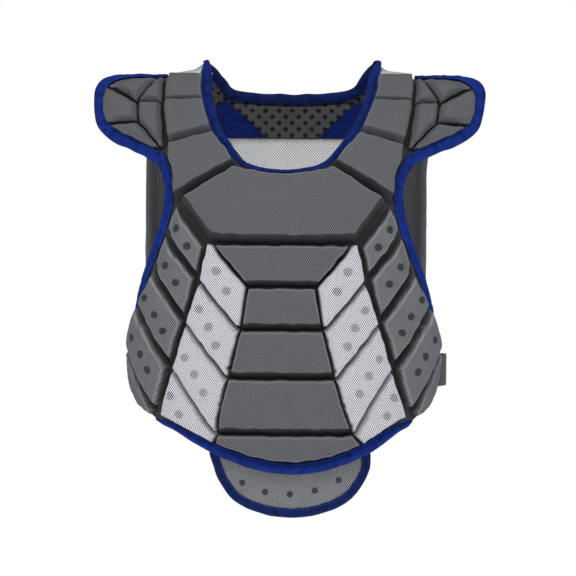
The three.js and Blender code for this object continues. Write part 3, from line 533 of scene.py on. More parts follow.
# a darker copy of the blue tape: painted shade on the flap binding and the back neck roll, which sit in shadow
BLUE_SHADED = tape_cloth("shaded_blue_tape_cloth", srgb(6, 23, 76), srgb(3, 11, 40), srgb(12, 35, 100))
GREY_TAPE = weave_cloth("grey_tape_cloth", srgb(52, 53, 56), srgb(112, 113, 117), srgb(44, 44, 46))
BACK_OUTER = weave_cloth("back_outer_weave", srgb(56, 57, 60), srgb(120, 121, 125), srgb(44, 44, 46))
BLUE_IN = tape_cloth("blue_gusset_cloth", srgb(9, 30, 96), srgb(4, 16, 62), srgb(15, 40, 112))
BLACK_MESH = hole_mesh("black_mesh_cloth", srgb(9, 9, 11), srgb(122, 122, 126), srgb(2, 2, 3))
FLAP = flap_cloth("flap_cloth")
BACKING = back_cloth("back_mesh_cloth")
YOKE = plain_cloth("yoke_cloth", srgb(226, 227, 230))
WEB = web_cloth("strap_webbing")
PLASTIC = plastic("buckle_plastic")


def finish_piece(o, node, slot, *materials):
    for m in materials:
        o.data.materials.append(m)
    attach(o, "root")
    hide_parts(node)
    return o


# ---- outlines of the panels ----
PANEL_ROWS = [
    (-468, 0, 12), (-465.5, 0, 30), (-458.5, 0, 58), (-451, 0, 78), (-435, 0, 111), (-422, 0, 137),
    (-418, 0, 149.5), (-414, 0, 162), (-402, 0, 182), (-382, 0, 200), (-356, 0, 214.5), (-336, 0, 222),
    (-318, 0, 222.5), (-305, 0, 218), (-286, 0, 208), (-267, 0, 195.5), (-248, 0, 184), (-228, 0, 172),
    (-206, 0, 159.5), (-184, 0, 149), (-164, 0, 142.5), (-148, 0, 140), (-132, 0, 139.5), (-115.8, 0, 142.5),
    (-114, 20, 143), (-109, 38, 145), (-103.5, 48.5, 148), (-93, 58, 149.5), (-77, 69, 144.6),
    (-60, 80, 146.3), (-40, 88.5, 148.6), (-13, 95.8, 150.6), (10, 99.5, 151), (32, 101.5, 151.2),
    (48, 102, 151.2), (60, 102, 151.2),
]  # fmt: skip
CAP_ROWS = [
    (152.1, 50, 160, 52), (152.1, 42, 190, 50), (152.1, 34, 213, 43.5), (152.1, 24, 228, 33),
    (151.9, 10, 235.5, 18), (151.5, -5, 237, 0), (151.1, -20, 237.5, -18), (150.3, -32, 234.5, -36),
    (149.3, -43, 224.5, -50.5), (148.2, -54, 209, -61.6), (147.0, -64, 191, -71), (146.2, -72, 174, -81),
    (146.2, -79, 161, -89.5), (148.4, -85, 154, -93.5),
]  # fmt: skip
BACK_ROWS = [
    (0, 105, 150), (18, 102.5, 150.5), (36, 98, 152), (56, 92, 155.5), (70, 85.5, 159.2), (78, 78, 161.6),
    (83, 67, 163.4), (86, 48, 164.6), (87.6, 24, 165.2), (88, 0, 165.4), (98, 0, 169.6), (110, 0, 174), (130, 0, 181), (160, 0, 188.5),
    (200, 0, 192), (260, 0, 193), (330, 0, 192.5), (400, 0, 191), (446, 0, 188), (460, 0, 178),
]  # fmt: skip
FLAP_ROWS = [
    (-524, 0, 14), (-521, 0, 31), (-515.5, 0, 49), (-508, 0, 65), (-499, 0, 75), (-489.5, 0, 82.3),
    (-479, 0, 88.3), (-468, 0, 92.3), (-455, 0, 94.6), (-450, 0, 94.8), (-436, 0, 94), (-424, 0, 92),
]  # fmt: skip
NECK_MESH_ROWS = [(92, 62, 79.2), (95, 40, 76.1), (96.8, 0, 74.2), (112, 0, 58.4), (137, 0, 34)]
GUSSET_ROWS = [(86, 87, 99, 96), (60, 112, 94, 115), (35.6, 137, 86, 138)]
NECK_FRONT = [
    (0, -115.8), (20, -114), (38, -109), (48.5, -103.5), (58, -93), (69, -77), (80, -60), (88.5, -40),
    (96.2, -13), (100.8, 10),
]  # fmt: skip


def across_rows(rows, cells, step):
    """Half grid (u, v) between the rows' ends, with more rows between them."""
    rows = np.asarray(rows, float)
    out = [rows[0]]
    for p, q in zip(rows, rows[1:]):
        n = max(1, math.ceil(np.abs(q - p).max() / step))
        out += [p + (q - p) * k / n for k in range(1, n + 1)]
    out = np.array(out)
    f = np.linspace(0, 1, cells + 1)
    ua, va, ub, vb = (out[:, c : c + 1] for c in range(4))
    return ua + (ub - ua) * f, va + (vb - va) * f


def levels(rows):
    return [(a, v, b, v) for v, a, b in rows]


# ---- front panel and shoulder caps ----
def panel():
    gu, gv = across_rows(levels(PANEL_ROWS), 64, 3.2)
    u, v, quads = merged_halves(gu, gv)
    high = 5 + 0.25 * ripple(u, v, 3, 22)
    verts, quads = cloth_body(u, v, quads, front(u, v, 0.0), front(u, v, high))
    uv = np.tile(np.stack([u, v], -1), (2, 1))
    o = mesh_object("front_panel_cloth", swayed(verts), quads, uv)
    finish_piece(o, "front_panel", "dark_mesh", CHANNEL)


def cap_base(side, sign):
    gu, gv = across_rows(CAP_ROWS, 36, 2.6)
    high = 4 + 0.2 * ripple(gu, gv, 4, 18)
    low, top = front(gu, gv, 0.0), front(gu, gv, high)
    for p in (low, top):
        p[..., 0] *= sign
    verts, quads = slab(low, top)
    uv = np.tile(np.stack([gu.ravel() * sign, gv.ravel()], -1), (2, 1))
    o = mesh_object("shoulder_cap_base_" + side, swayed(verts), quads, uv)
    finish_piece(o, "shoulder_cap_" + side, "dark_mesh", CHANNEL)


# ---- pads ----
def to_segments(p, poly):
    """Distance from points (N, 2) to a polyline (M, 2), and how far along it the nearest point is."""
    a, b = poly[:-1], poly[1:]
    d = b - a
    ll = np.maximum((d * d).sum(-1), 1e-9)
    w = p[:, None, :] - a[None]
    t = np.clip((w * d).sum(-1) / ll, 0, 1)
    gap = np.linalg.norm(w - t[..., None] * d, axis=-1)
    i = gap.argmin(1)
    start = np.concatenate([[0], np.cumsum(np.sqrt(ll))])[:-1]
    k = np.arange(len(p))
    return gap[k, i], start[i] + t[k, i] * np.sqrt(ll[i])


def lines(total, pitch=2.1):
    near = np.array([0, 0.35, 0.8, 1.4, 2.1, 2.9, 3.8, 4.8, 5.9, 7.0, 8.1, 9.2, 10.3, 11.4])
    if total < 26:
        n = max(6, math.ceil(total / 1.3))
        t = np.linspace(0, 1, n + 1)
        return (0.5 - 0.5 * np.cos(np.pi * t)) * 0.6 + t * 0.4
    middle = np.linspace(near[-1], total - near[-1], max(2, math.ceil((total - 2 * near[-1]) / pitch)) + 1)
    return np.concatenate([near[:-1], middle, total - near[-2::-1]]) / total


def edge_profile(d, kind, width, flange):
    """Height from 0 to 1 at d mm in from a pad's edge, and how dark the seam line and the painted shade of that edge
    are.
    """
    if kind == "lip":  # the same, on to a neighbour of the same cloth, with lighter painted shade at its foot
        return edge_profile(d, "cut", width, flange)[0], 0.45 * (1 - smoothstep(d, 0.05, 0.9))
    if kind == "cut":  # foam ends steeply, with a small round and a thin dark line at its foot, partly seam and partly painted shade
        x = np.clip(d / width, 0, 1)
        return 0.1 + 0.9 * np.sqrt(1 - (1 - x) ** 2), 0.9 * (1 - smoothstep(d, 0.05, 0.6))
    if kind == "chamfer":  # a flat slope up to a crease, painted dark all the way up as shade on a slope that faces down
        x = d / width
        y = 0.12 + 0.86 * x
        k = 0.07
        h = np.clip(0.5 + 0.5 * (1 - y) / k, 0, 1)
        f = y * h + 1 - h - k * h * (1 - h)
        return np.minimum(f, 1), 0.86 * (1 - smoothstep(d, width - 1.6, width + 0.4))
    if kind == "slope":  # the same with less painted shade on it, fading up the slope
        f, dark = edge_profile(d, "chamfer", width, flange)
        return f, dark * (0.62 - 0.4 * np.clip(d / width, 0, 1))
    if kind == "ease":  # rises slowly from a thin edge
        x = np.clip(d / width, 0, 1)
        return 0.08 + 0.92 * x * x * (3 - 2 * x), 0.8 * (1 - smoothstep(d, 0.1, 1.3))
    if kind == "soft":  # a long soft shoulder, with painted shade fading over its lower part
        x = np.clip(d / width, 0, 1)
        return 0.1 + 0.9 * (1 - (1 - x) ** 2.2) ** 0.8, 0.22 * (1 - smoothstep(d, 0.0, 4.5)) + 0.25 * (1 - smoothstep(d, 0.1, 1.0))
    if kind == "flange":  # a flat sewn border, then the pad rises
        x = np.clip((d - flange) / width, 0, 1)
        return 0.04 + 0.96 * np.sqrt(1 - (1 - x) ** 2.2), 1 - smoothstep(d, flange - 0.2, flange + 1.0)
    x = np.clip(d / width, 0, 1)  # puffed
    return 0.06 + 0.94 * (1 - (1 - x) ** 2) ** 0.62, 0.9 * (1 - smoothstep(d, 0.1, 1.3))


def pad(name, rows, foot, top, edges, material, slot, crown=1.2, seed=1, spots=(), rounding=3.0, sign=1, node=None):
    """edges gives (kind, width, flange, pucker) for a, b, start and end of the rows."""
    rows = np.asarray(rows, float)
    mid = (rows[:, :2] + rows[:, 2:]) / 2
    at = np.concatenate([[0], np.cumsum(np.linalg.norm(np.diff(mid, axis=0), axis=1))])
    length = at[-1]
    width = np.linalg.norm(rows[:, 2:] - rows[:, :2], axis=1).max()
    t = lines(length) * length
    dense = np.linspace(0, length, max(40, int(length / 1.0)))
    smooth = np.stack([np.interp(dense, at, rows[:, c]) for c in range(4)], -1)
    if len(rows) > 2 and rounding:  # ease the corners of the outline
        half = max(1, int(rounding / (dense[1] - dense[0])))
        kernel = np.hanning(2 * half + 3)[1:-1]
        kernel /= kernel.sum()
        pre = 2 * smooth[:1] - smooth[half:0:-1]
        post = 2 * smooth[-1:] - smooth[-2 : -half - 2 : -1]
        padded_rows = np.concatenate([pre, smooth, post])
        smooth = np.stack([np.convolve(padded_rows[:, c], kernel, "valid") for c in range(4)], -1)
    sec = np.stack([np.interp(t, dense, smooth[:, c]) for c in range(4)], -1)
    s = lines(width)
    gu = sec[:, 0:1] + (sec[:, 2:3] - sec[:, 0:1]) * s
    gv = sec[:, 1:2] + (sec[:, 3:4] - sec[:, 1:2]) * s
    p = np.stack([gu.ravel(), gv.ravel()], -1)
    outline = {"a": smooth[::2, :2], "b": smooth[::2, 2:], "start": smooth[0].reshape(2, 2), "end": smooth[-1].reshape(2, 2)}
    outline["a"] = np.concatenate([outline["a"], smooth[-1:, :2]])
    outline["b"] = np.concatenate([outline["b"], smooth[-1:, 2:]])
    height = np.ones(len(p))
    seam = np.zeros(len(p))
    rim = np.full(len(p), 99.0)
    wrinkle = np.zeros(len(p))
    for k, (key, poly) in enumerate(outline.items()):
        kind, wide, flange, pucker = edges[key]
        d, along = to_segments(p, poly)
        d = d + (0.25 * ripple(along, 0 * along, seed * 7 + k, 14) + max(0, pucker - 0.7) * 5 * ripple(along, 0 * along, seed * 5 + k, 8, 4)) * smoothstep(d, 0, 1.2)
        f, dark = edge_profile(d, kind, wide, flange)
        soft = 0.05
        h = np.clip(0.5 + 0.5 * (height - f) / soft, 0, 1)
        height = height * (1 - h) + f * h - soft * h * (1 - h)
        seam = np.maximum(seam, dark)
        rim = np.minimum(rim, d - (flange if kind == "flange" else 0) - (wide - 2.5 if kind in ("chamfer", "slope") else 0))
        crease = ripple(along, 0 * along, seed * 11 + k, 9, 5) * 0.6 + ripple(along, 0 * along, seed * 13 + k, 19, 4) * 0.6
        wrinkle += pucker * crease * np.exp(-np.maximum(d - flange, 0) / 7) * smoothstep(d, 0.2 + flange, 2.5 + flange)
    height = np.clip(height, 0.03, None)
    inner = np.clip(rim / 26, 0, 1)
    h = foot + (top - foot) * height + crown * (1 - (1 - inner) ** 2) + wrinkle
    h += 0.18 * ripple(gu.ravel(), gv.ravel(), seed * 3, 34) * smoothstep(rim, 2, 10)
    h = np.maximum(h, foot + 0.4).reshape(gu.shape)
    shift_u = 0.45 * ripple(gu, gv, 91, 26)
    shift_v = 0.45 * ripple(gu, gv, 92, 26)
    wu, wv = gu + shift_u, gv + shift_v
    low, high = front(wu, wv, foot), front(wu, wv, h)
    for q in (low, high):
        q[..., 0] *= sign
    verts, quads = slab(low, high)
    n = gu.size
    uv = np.tile(np.stack([gu.ravel() * sign, gv.ravel()], -1), (2, 1))
    attrs = {"seam": np.tile(seam, 2), "rim": np.tile(rim, 2)}
    # the underside and the side walls of each pad take the full painted shade
    attrs["seam"][:n] = 1
    if len(spots):
        far = np.linalg.norm(p[:, None] - np.asarray(spots, float)[None], axis=-1).min(1)
        attrs["spot"] = np.tile(far, 2)
    o = mesh_object(name + "_cover", swayed(verts), quads, uv, attrs)
    finish_piece(o, node or name, slot, material)
    return o


FOOT, CAP_FOOT = 6.1, 4.5
CUT = ("cut", 2.4, 0, 0.25)
THIN = ("cut", 1.9, 0, 0.2)
GATHERED = ("cut", 2.2, 0, 0.88)
LIP = ("lip", 2.4, 0, 0.3)
PUFF = ("puff", 8.5, 0, 0.35)


def chamfer(width, pucker=0.25):
    return ("chamfer", width, 0, pucker)


def flange(size, width=3.2, pucker=0.3):
    return ("flange", width, size, pucker)


def mirror_rows(rows):
    return [*rows, *[(-a, b, -c, d) for a, b, c, d in rows[-2::-1]]]


CHEST = [(117, -158, 118.5, -150.5), (101, -179, 87, -131.5), (85, -199, 57.5, -113.8), (42, -201, 30, -119.8), (0, -201.4, 0, -123.6)]
RIB_5 = [(83.5, -440.5, 77, -428.6), (68, -446.5, 58, -428.6), (48, -453.5, 40, -428.6), (25, -458.5, 20, -428.6), (0, -460.4, 0, -428.6)]
RIBS = [
    ("belly_rib_1", -203.6, 76.6, -251.2, 37.6),
    ("belly_rib_2", -253.6, 37.4, -302, 45.4),
    ("belly_rib_3", -304.4, 45.8, -360.2, 59.4),
    ("belly_rib_4", -362.6, 60, -426.2, 76.6),
]
W_EDGES = {"a": ("soft", 9, 0, 0.5), "b": LIP, "start": THIN, "end": GATHERED}
S_EDGES = {"a": flange(2.2, 2.6), "b": flange(2.2, 2.6), "start": ("ease", 20, 0, 0.2), "end": flange(0.6, 2.6)}
S4_EDGES = {**S_EDGES, "start": ("puff", 12, 0, 0.15)}
S5_EDGES = {"a": flange(1.2, 3), "b": ("puff", 7, 0, 0.3), "start": ("puff", 7, 0, 0.2), "end": THIN}
SPOTS = {
    "side_rib_1": [(124.8, -184.4), (109.7, -205.0)],
    "side_rib_2": [(136.9, -228.1), (123.3, -247.8)],
    "side_rib_3": [(164.8, -267.6), (149.3, -287.1), (138.3, -306.2)],
    "side_rib_4": [(186.6, -316.1), (169.5, -335.3), (157.9, -354.1)],
    "mesh_rib_1": [(73.4, -233.6), (61.3, -256.8)],
    "mesh_rib_2": [(93.8, -278.9), (82.0, -300.1), (73.6, -321.6)],
    "mesh_rib_3": [(110.6, -337.2), (98.5, -357.1), (87.9, -378.1)],
    "mesh_rib_4": [(129.1, -383.6), (119.3, -405.0)],
}
SIDE_PADS = {
    "mesh_rib_1": (22, [(80.2, -204.6, 84.4, -202.6), (60.5, -228.4, 89.4, -223), (40.4, -252.6, 93.4, -244.4), (43.6, -276, 71.6, -272.2), (47.2, -299, 50.6, -298)],
                   {"a": THIN, "b": THIN, "start": THIN, "end": THIN}),
    "mesh_rib_2": (22, [(95.2, -248.4, 110.4, -294.6), (71.8, -276.6, 86, -327), (48.6, -304.6, 61.6, -358.6)], W_EDGES),
    "mesh_rib_3": (22, [(111.6, -298.6, 126.4, -348.8), (87.2, -330.4, 102.6, -386.8), (62.8, -362.6, 78.6, -424.6)], W_EDGES),
    "mesh_rib_4": (20, [(127.6, -353, 144.4, -408.4), (103.6, -390.8, 124.5, -418.4), (80, -428.6, 88.6, -438)],
                   {"a": ("soft", 9, 0, 0.5), "b": ("soft", 4, 0, 0.3), "start": THIN, "end": THIN}),
    "side_rib_1": (18, [(129.1, -156.1, 140.7, -185.9), (108.8, -182.4, 120.2, -214), (91.4, -204.4, 99.6, -238.4)], S_EDGES),
    "side_rib_2": (18, [(143.7, -191.7, 158.6, -226.5), (121.6, -218.8, 135, -261), (102.2, -241.6, 114.6, -289)], S_EDGES),
    "side_rib_3": (19, [(160.9, -232.8, 186.2, -267.2), (138.2, -264.4, 157.8, -310), (117, -293, 132.6, -343.8)], {**S_EDGES, "start": ("ease", 12, 0, 0.2)}),
    "side_rib_4": (21, [(188.6, -277, 214.4, -318.5), (160.6, -312.2, 182, -362), (135.2, -348.4, 150.6, -400.6)], S4_EDGES),
    "side_rib_5": (19, [(213, -328, 215.4, -338), (198, -347.4, 211, -359.5), (182.2, -368, 198.6, -383.6), (167, -388, 182, -400.4), (157.4, -401.4, 165.4, -408.4)], S5_EDGES),
    "shoulder_pad_1": (23, [(128.6, -151, 56, -109.6), (131.5, -124, 66.8, -92), (139, -97, 77, -79), (141, -82.4, 86.4, -67.2)],
                       {"a": ("puff", 5, 0, 0.4), "b": CUT, "start": chamfer(7.5), "end": CUT}),
    "shoulder_pad_2": (23, [(140.4, -78.4, 87.2, -63.4), (147.4, -46, 95.8, -39), (150.8, -14.6, 102, -15.4)],
                       {"a": ("puff", 5, 0, 0.5), "b": CUT, "start": ("slope", 9, 0, 0.4), "end": CUT}),
    "shoulder_pad_3": (19.5, [(151.4, -11.8, 103.4, -12.6), (152.2, 14, 107.2, 14), (152, 33, 109, 33), (150.6, 38.5, 110.6, 38.5), (146.8, 42, 114, 42)],
                       {"a": ("puff", 5, 0, 0.5), "b": CUT, "start": ("slope", 7, 0, 0.4), "end": ("soft", 15, 0, 0.3)}),
    "cap_outer_1": (17, [(162.4, 34.6, 170.5, 44), (172.4, 19, 194, 42), (179.8, 6.6, 212.4, 35.6), (186, -5.6, 224.6, 25.2)],
                    {"a": PUFF, "b": ("ease", 24, 0, 0.3), "start": ("ease", 16, 0, 0.3), "end": PUFF}),
    "cap_outer_2": (18, [(186.6, -7.6, 226.4, 20.6), (184.8, -17, 230.8, 1), (184.4, -29, 231.4, -18), (182.6, -40.4, 226.4, -37.2)], None),
    "cap_outer_3": (17, [(182.2, -42, 222.4, -43.2), (173.4, -54, 205.4, -56.2), (164, -67.4, 186.4, -67), (153.8, -81.6, 162.6, -81)], None),
    "cap_inner_1": (19, [(154.4, 31, 161.2, 31.4), (154.4, 8, 174, 12.8), (154.2, -10.8, 182.8, -6.2)], None),
    "cap_inner_2": (19, [(154, -12.8, 183.2, -7.8), (152.6, -34, 183.6, -26), (150.8, -54, 180.6, -42.6), (149.2, -69, 165.2, -64), (148.2, -80, 153.4, -80.4)], None),
}  # fmt: skip


def grown(row, at_a, at_b):
    """A row of a pad, a little longer at its two ends."""
    a, b = np.array(row[:2], float), np.array(row[2:], float)
    d = (b - a) / np.linalg.norm(b - a)
    return (*(a - at_a * d), *(b + at_b * d))


def pads():
    pad("chest_plate", mirror_rows(CHEST), FOOT, 24,
        {"a": chamfer(10.5), "b": CUT, "start": CUT, "end": CUT}, GREY, "grey_cloth", 1.6, 1)  # fmt: skip
    for k, (name, v1, h1, v2, h2) in enumerate(RIBS):
        rows = [(-h2, v2, -h1, v1), (0, v2, 0, v1), (h2, v2, h1, v1)]
        pad(name, rows, FOOT, 22, {"a": chamfer(8), "b": CUT, "start": THIN, "end": THIN}, GREY, "grey_cloth", 1.2, 20 + k)
    pad("belly_rib_5", mirror_rows(RIB_5), FOOT, 20,
        {"a": ("puff", 6, 0, 0.3), "b": CUT, "start": THIN, "end": THIN}, GREY, "grey_cloth", 0.8, 30)  # fmt: skip
    for k, (name, (top, rows, edges)) in enumerate(SIDE_PADS.items()):
        cap = name.startswith("cap")
        if name.startswith("mesh"):  # neighbours of the light mesh nearly touch
            rows = [grown(r, 0.0 if name == "mesh_rib_1" else 1.1, 0.0 if name == "mesh_rib_4" else 1.0) for r in rows]
        material, slot = (LIGHT, "light_mesh") if name.startswith("mesh") else (SIDE_EDGE_LIT if name == "side_rib_5" else SIDE, "side_mesh") if name.startswith("side") else (GREY if name == "shoulder_pad_1" else SHOULDER, "grey_cloth")
        edges = edges or dict.fromkeys(("a", "b", "start", "end"), PUFF)
        for side, sign in (("left", 1), ("right", -1)):
            pad(f"{name}_{side}", rows, CAP_FOOT if cap else FOOT, top, edges, material, slot,
                2.2 if cap else 1.2, 40 + 2 * k + (sign < 0), SPOTS.get(name, ()), 5.0 if cap else 3.0, sign)  # fmt: skip


# ---- folded tape ----
def tape_profile(thick, reach, past, bulge, inside, wall=1.3):
    """Closed section of a folded strip: (a, h) with a out past the edge and h off the cloth, and the distance across it."""
    gap = 0.45
    top, low = thick + gap + wall, -inside - wall
    centre = (top + low) / 2
    half = (top - low) / 2 + bulge * 0.35
    outer = [(-reach, thick + gap + 0.5), (-reach + 0.5, top - 0.1), (-reach + 2.0, top - 0.15)]
    for k in range(1, 5):  # the front leg swells towards the fold
        f = k / 5
        outer.append((-reach + 2.0 + f * (reach - 2.0), top - 0.15 + bulge * math.sin(f * math.pi * 0.5)))
    for k in range(0, 13):
        a = math.pi * (0.5 - k / 12)
        outer.append((past * math.cos(a), centre + (half + (bulge * 0.65 if k < 6 else 0)) * math.sin(a)))
    outer += [(-reach * 0.4, low), (-reach + 0.6, low), (-reach, low + 0.4)]
    inner = [(-reach, low + wall), (-reach * 0.4, low + wall)]
    for k in range(12, -1, -3):
        a = math.pi * (0.5 - k / 12)
        inner.append(((past - wall) * math.cos(a) * 0.9 + 0.3, centre + (half - wall) * math.sin(a) * 0.95))
    inner += [(-reach * 0.4, thick + gap)]
    section = np.array(outer + inner)
    d = np.concatenate([[0], np.cumsum(np.linalg.norm(np.diff(np.array(outer), axis=0), axis=1))])
    return section, np.concatenate([d, np.full(len(inner), 9.0)]), len(outer)


def sweep(name, at, out, off, section, across, scale=None, pucker=0.25, seed=5, lumps=0.05, wander=0.25):
    """Carries a section along stations; scale shrinks the whole section station by station."""
    n, m = len(at), len(section)
    along = np.concatenate([[0], np.cumsum(np.linalg.norm(np.diff(at, axis=0), axis=1))])
    a = np.tile(section[:, 0], (n, 1))
    h = np.tile(section[:, 1], (n, 1))
    centre = section[:, 1].mean()
    L = np.repeat(along[:, None], m, 1)
    swell = 1 + lumps * ripple(L, across[None] * 0.3, seed, 16) + 0.03 * ripple(L, across[None], seed + 1, 6)
    h = centre + (h - centre) * swell
    a = a + pucker * ripple(L, 0 * L, seed + 2, 11) * np.clip(-a / 6, 0, 1)
    a = a + wander * ripple(L, 0 * L, seed + 3, 28)
    if scale is not None:
        a = a * scale[:, None]
        h = centre + (h - centre) * (0.35 + 0.65 * scale[:, None])
    verts = at[:, None] + a[..., None] * out[:, None] + h[..., None] * off[:, None]
    k = np.arange(n * m).reshape(n, m)
    nxt = np.roll(k, -1, 1)
    body = np.stack([k[:-1], nxt[:-1], nxt[1:], k[1:]], -1).reshape(-1, 4)
    ends = []
    for row, flip in ((k[0], 1), (k[-1], 0)):  # close the ends with a strip between the two faces
        lo, hi = 0, m - 1
        while hi - lo >= 2:
            q = [row[lo], row[lo + 1], row[hi - 1], row[hi]]
            if len(set(q)) == 4:
                ends.append(q[::-1] if flip else q)
            lo, hi = lo + 1, hi - 1
    ends = np.array(ends)
    flat = verts.reshape(-1, 3)
    quads = np.concatenate([outward(flat, body), ends])
    uv = np.stack([L, np.tile(across, (n, 1))], -1).reshape(-1, 2)
    return flat, quads, uv


def stations(mapping, edge, roll=None, step=2.4):
    pts = spline(edge, step)
    u, v = pts[:, 0], pts[:, 1]
    at = mapping(u, v)
    d = 0.5
    du = mapping(u + d, v) - mapping(u - d, v)
    dv = mapping(u, v + d) - mapping(u, v - d)
    off = np.cross(du, dv)
    off /= np.linalg.norm(off, axis=1, keepdims=True)
    tangent = np.gradient(at, axis=0)
    tangent /= np.linalg.norm(tangent, axis=1, keepdims=True)
    out = np.cross(tangent, off)
    out /= np.linalg.norm(out, axis=1, keepdims=True)
    if roll is not None:
        r = roll(u)[:, None]
        out, off = out * np.cos(r) - off * np.sin(r), off * np.cos(r) + out * np.sin(r)
    return at, out, off


def flipped(edge):
    return [(-u, v) for u, v in edge][::-1]


def tape_piece(name, node, parts, material, sway=1.0, slot="blue_tape"):
    flat, quads, uv = parts
    o = mesh_object(name, swayed(flat, sway), quads, uv)
    finish_piece(o, node, slot, material)
    return o


def mirrored(parts):
    flat, quads, uv = parts
    flat = flat * np.array([-1, 1, 1])
    return flat, quads[:, ::-1], uv


def bindings():
    outer = [(b, v) for v, a, b in PANEL_ROWS]
    section, across, _ = tape_profile(5, 6.4, 8.2, 1.8, 1.9)
    side_edge = [*[(u, v) for u, v in outer if -356 <= v <= -102], *[(u, v) for _, _, u, v in CAP_ROWS][::-1], (154.5, 51.6)]
    at, out, off = stations(front, side_edge)
    for side, sign in (("left", 1), ("right", -1)):
        full = 1 + 0.14 * smoothstep(at[:, 0], 165, 185) * smoothstep(at[:, 2], -90, -70)
        parts = sweep("side", at, out, off, section, across, full, seed=50 + sign)
        tape_piece(f"side_binding_tape_{side}", f"side_binding_{side}", parts if sign > 0 else mirrored(parts), BLUE)
    half = [(u, v) for u, v in outer if v <= -421] + [(149.5, -418), (162, -414)]
    at, out, off = stations(front, [*flipped(half), *half])
    thin = 1 - 0.42 * smoothstep(np.abs(at[:, 0]), 95, 150) - 0.3 * smoothstep(np.abs(at[:, 0]), 143, 153)
    tape_piece("hem_binding_tape", "hem_binding", sweep("hem", at, out, off, section, across, thin, seed=60), BLUE)
    # flap
    fsec, facross, _ = tape_profile(4, 5.6, 6.4, 1.2, 1.7)
    fhalf = [(b, v) for v, a, b in FLAP_ROWS if v < -450] + [(94.7, -453)]
    at, out, off = stations(front, [*flipped(fhalf), *fhalf])
    at = at + off * -10
    tape_piece("flap_binding_tape", "flap_binding", sweep("flap", at, out, off, fsec, facross, seed=70), BLUE_SHADED)
    # back
    bsec, bacross, _ = tape_profile(5, 6, 6.4, 1.0, 1.9)
    bhalf = [(b, v) for v, a, b in BACK_ROWS if v >= 56]
    bottom = [((178 - 8) * k / 4, 460) for k in (4, 3, 2, 1)]
    at, out, off = stations(back, [*bhalf, *bottom, (0, 460), *flipped([*bhalf, *bottom])], step=3.2)
    flat, quads, uv = sweep("back", at, out, off, bsec, bacross, seed=80)
    tape_piece("back_binding_tape", "back_binding", (behind_sway(flat), quads, uv), GREY_TAPE, 0, "grey_cloth")


def neck():
    """The padded roll round the neck: its front half and its back half meet over the shoulders."""
    curl = lambda u: np.radians(42) * np.clip(1 - (np.abs(u) / 62) ** 1.5, 0, None)
    edge = [*flipped(NECK_FRONT), *NECK_FRONT[1:]]
    at, out, off = stations(front, edge, curl)
    # the flat edge turns to the right of its direction, so the hole is on the left of this one
    i = len(at) // 2
    if (out[i] @ np.array([0, 0, 1.0])) < 0:
        at, out, off = stations(front, edge[::-1], lambda u: curl(u))
    tip = lambda y: np.array([106, y, 21.5, -0.97, 0, 0.24, 0.24, 0, 0.97])
    up_to = np.array([103.4, -11, 5, -0.98, 0, 0.15, 0.15, -0.55, 0.8])
    rows = np.concatenate([at, out, off], 1)
    if rows[0, 0] < 0:
        rows = rows[::-1]
    half = rows[: len(rows) // 2 + 1]  # from the left tip to the centre
    keyed = np.array([tip(7), up_to, *half[2::5], half[-1]])
    left = spline(keyed, 2.4)
    full = np.concatenate([left, (left * np.array([-1, 1, 1, -1, 1, 1, -1, 1, 1]))[-2::-1]])
    at, out, off = full[:, :3], full[:, 3:6], full[:, 6:9]
    out = out / np.linalg.norm(out, axis=1, keepdims=True)
    off = off - (off * out).sum(1, keepdims=True) * out
    off = off / np.linalg.norm(off, axis=1, keepdims=True)
    section, across, _ = tape_profile(5, 6.8, 6.6, 1.6, 1.6)
    point = lambda z: 1 - 0.45 * smoothstep(z, 6, 21.5)
    thin = (0.6 + 0.4 * smoothstep(np.abs(at[:, 0]), 50, 100)) * point(at[:, 2])
    tape_piece("neck_binding_front_roll", "neck_binding_front", sweep("neck", at, out, off, section, across, thin, seed=90), BLUE_NECK_SHADED)

    ring = [(a, v) for v, a, b in BACK_ROWS if 36 <= v <= 88]  # shoulder to centre
    at, out, off = stations(back, [*flipped(ring[::-1]), *ring[::-1][1:]])
    rows = np.concatenate([at, out, off], 1)
    if rows[0, 0] < 0:
        rows = rows[::-1]
    if rows[len(rows) // 2, 5] < 0:  # out has to point up, into the neck hole
        rows[:, 3:6] *= -1
    over = np.array([103.2, 23, 18, -0.98, 0, 0.2, 0.2, 0.15, 0.97])
    half = rows[: len(rows) // 2 + 1]
    keyed = np.array([tip(7.6), over, *half[2::5], half[-1]])
    left = spline(keyed, 2.4)
    full = np.concatenate([left, (left * np.array([-1, 1, 1, -1, 1, 1, -1, 1, 1]))[-2::-1]])
    at, out, off = full[:, :3], full[:, 3:6], full[:, 6:9]
    out = out / np.linalg.norm(out, axis=1, keepdims=True)
    off = off - (off * out).sum(1, keepdims=True) * out
    off = off / np.linalg.norm(off, axis=1, keepdims=True)
    section, across, _ = tape_profile(5, 5.0, 7.6, 1.2, 1.6)
    tape_piece("neck_binding_back_roll", "neck_binding_back", sweep("neck2", at, out, off, section, across, point(at[:, 2]), seed=95, lumps=0.1, wander=0.7), BLUE_SHADED, 0)


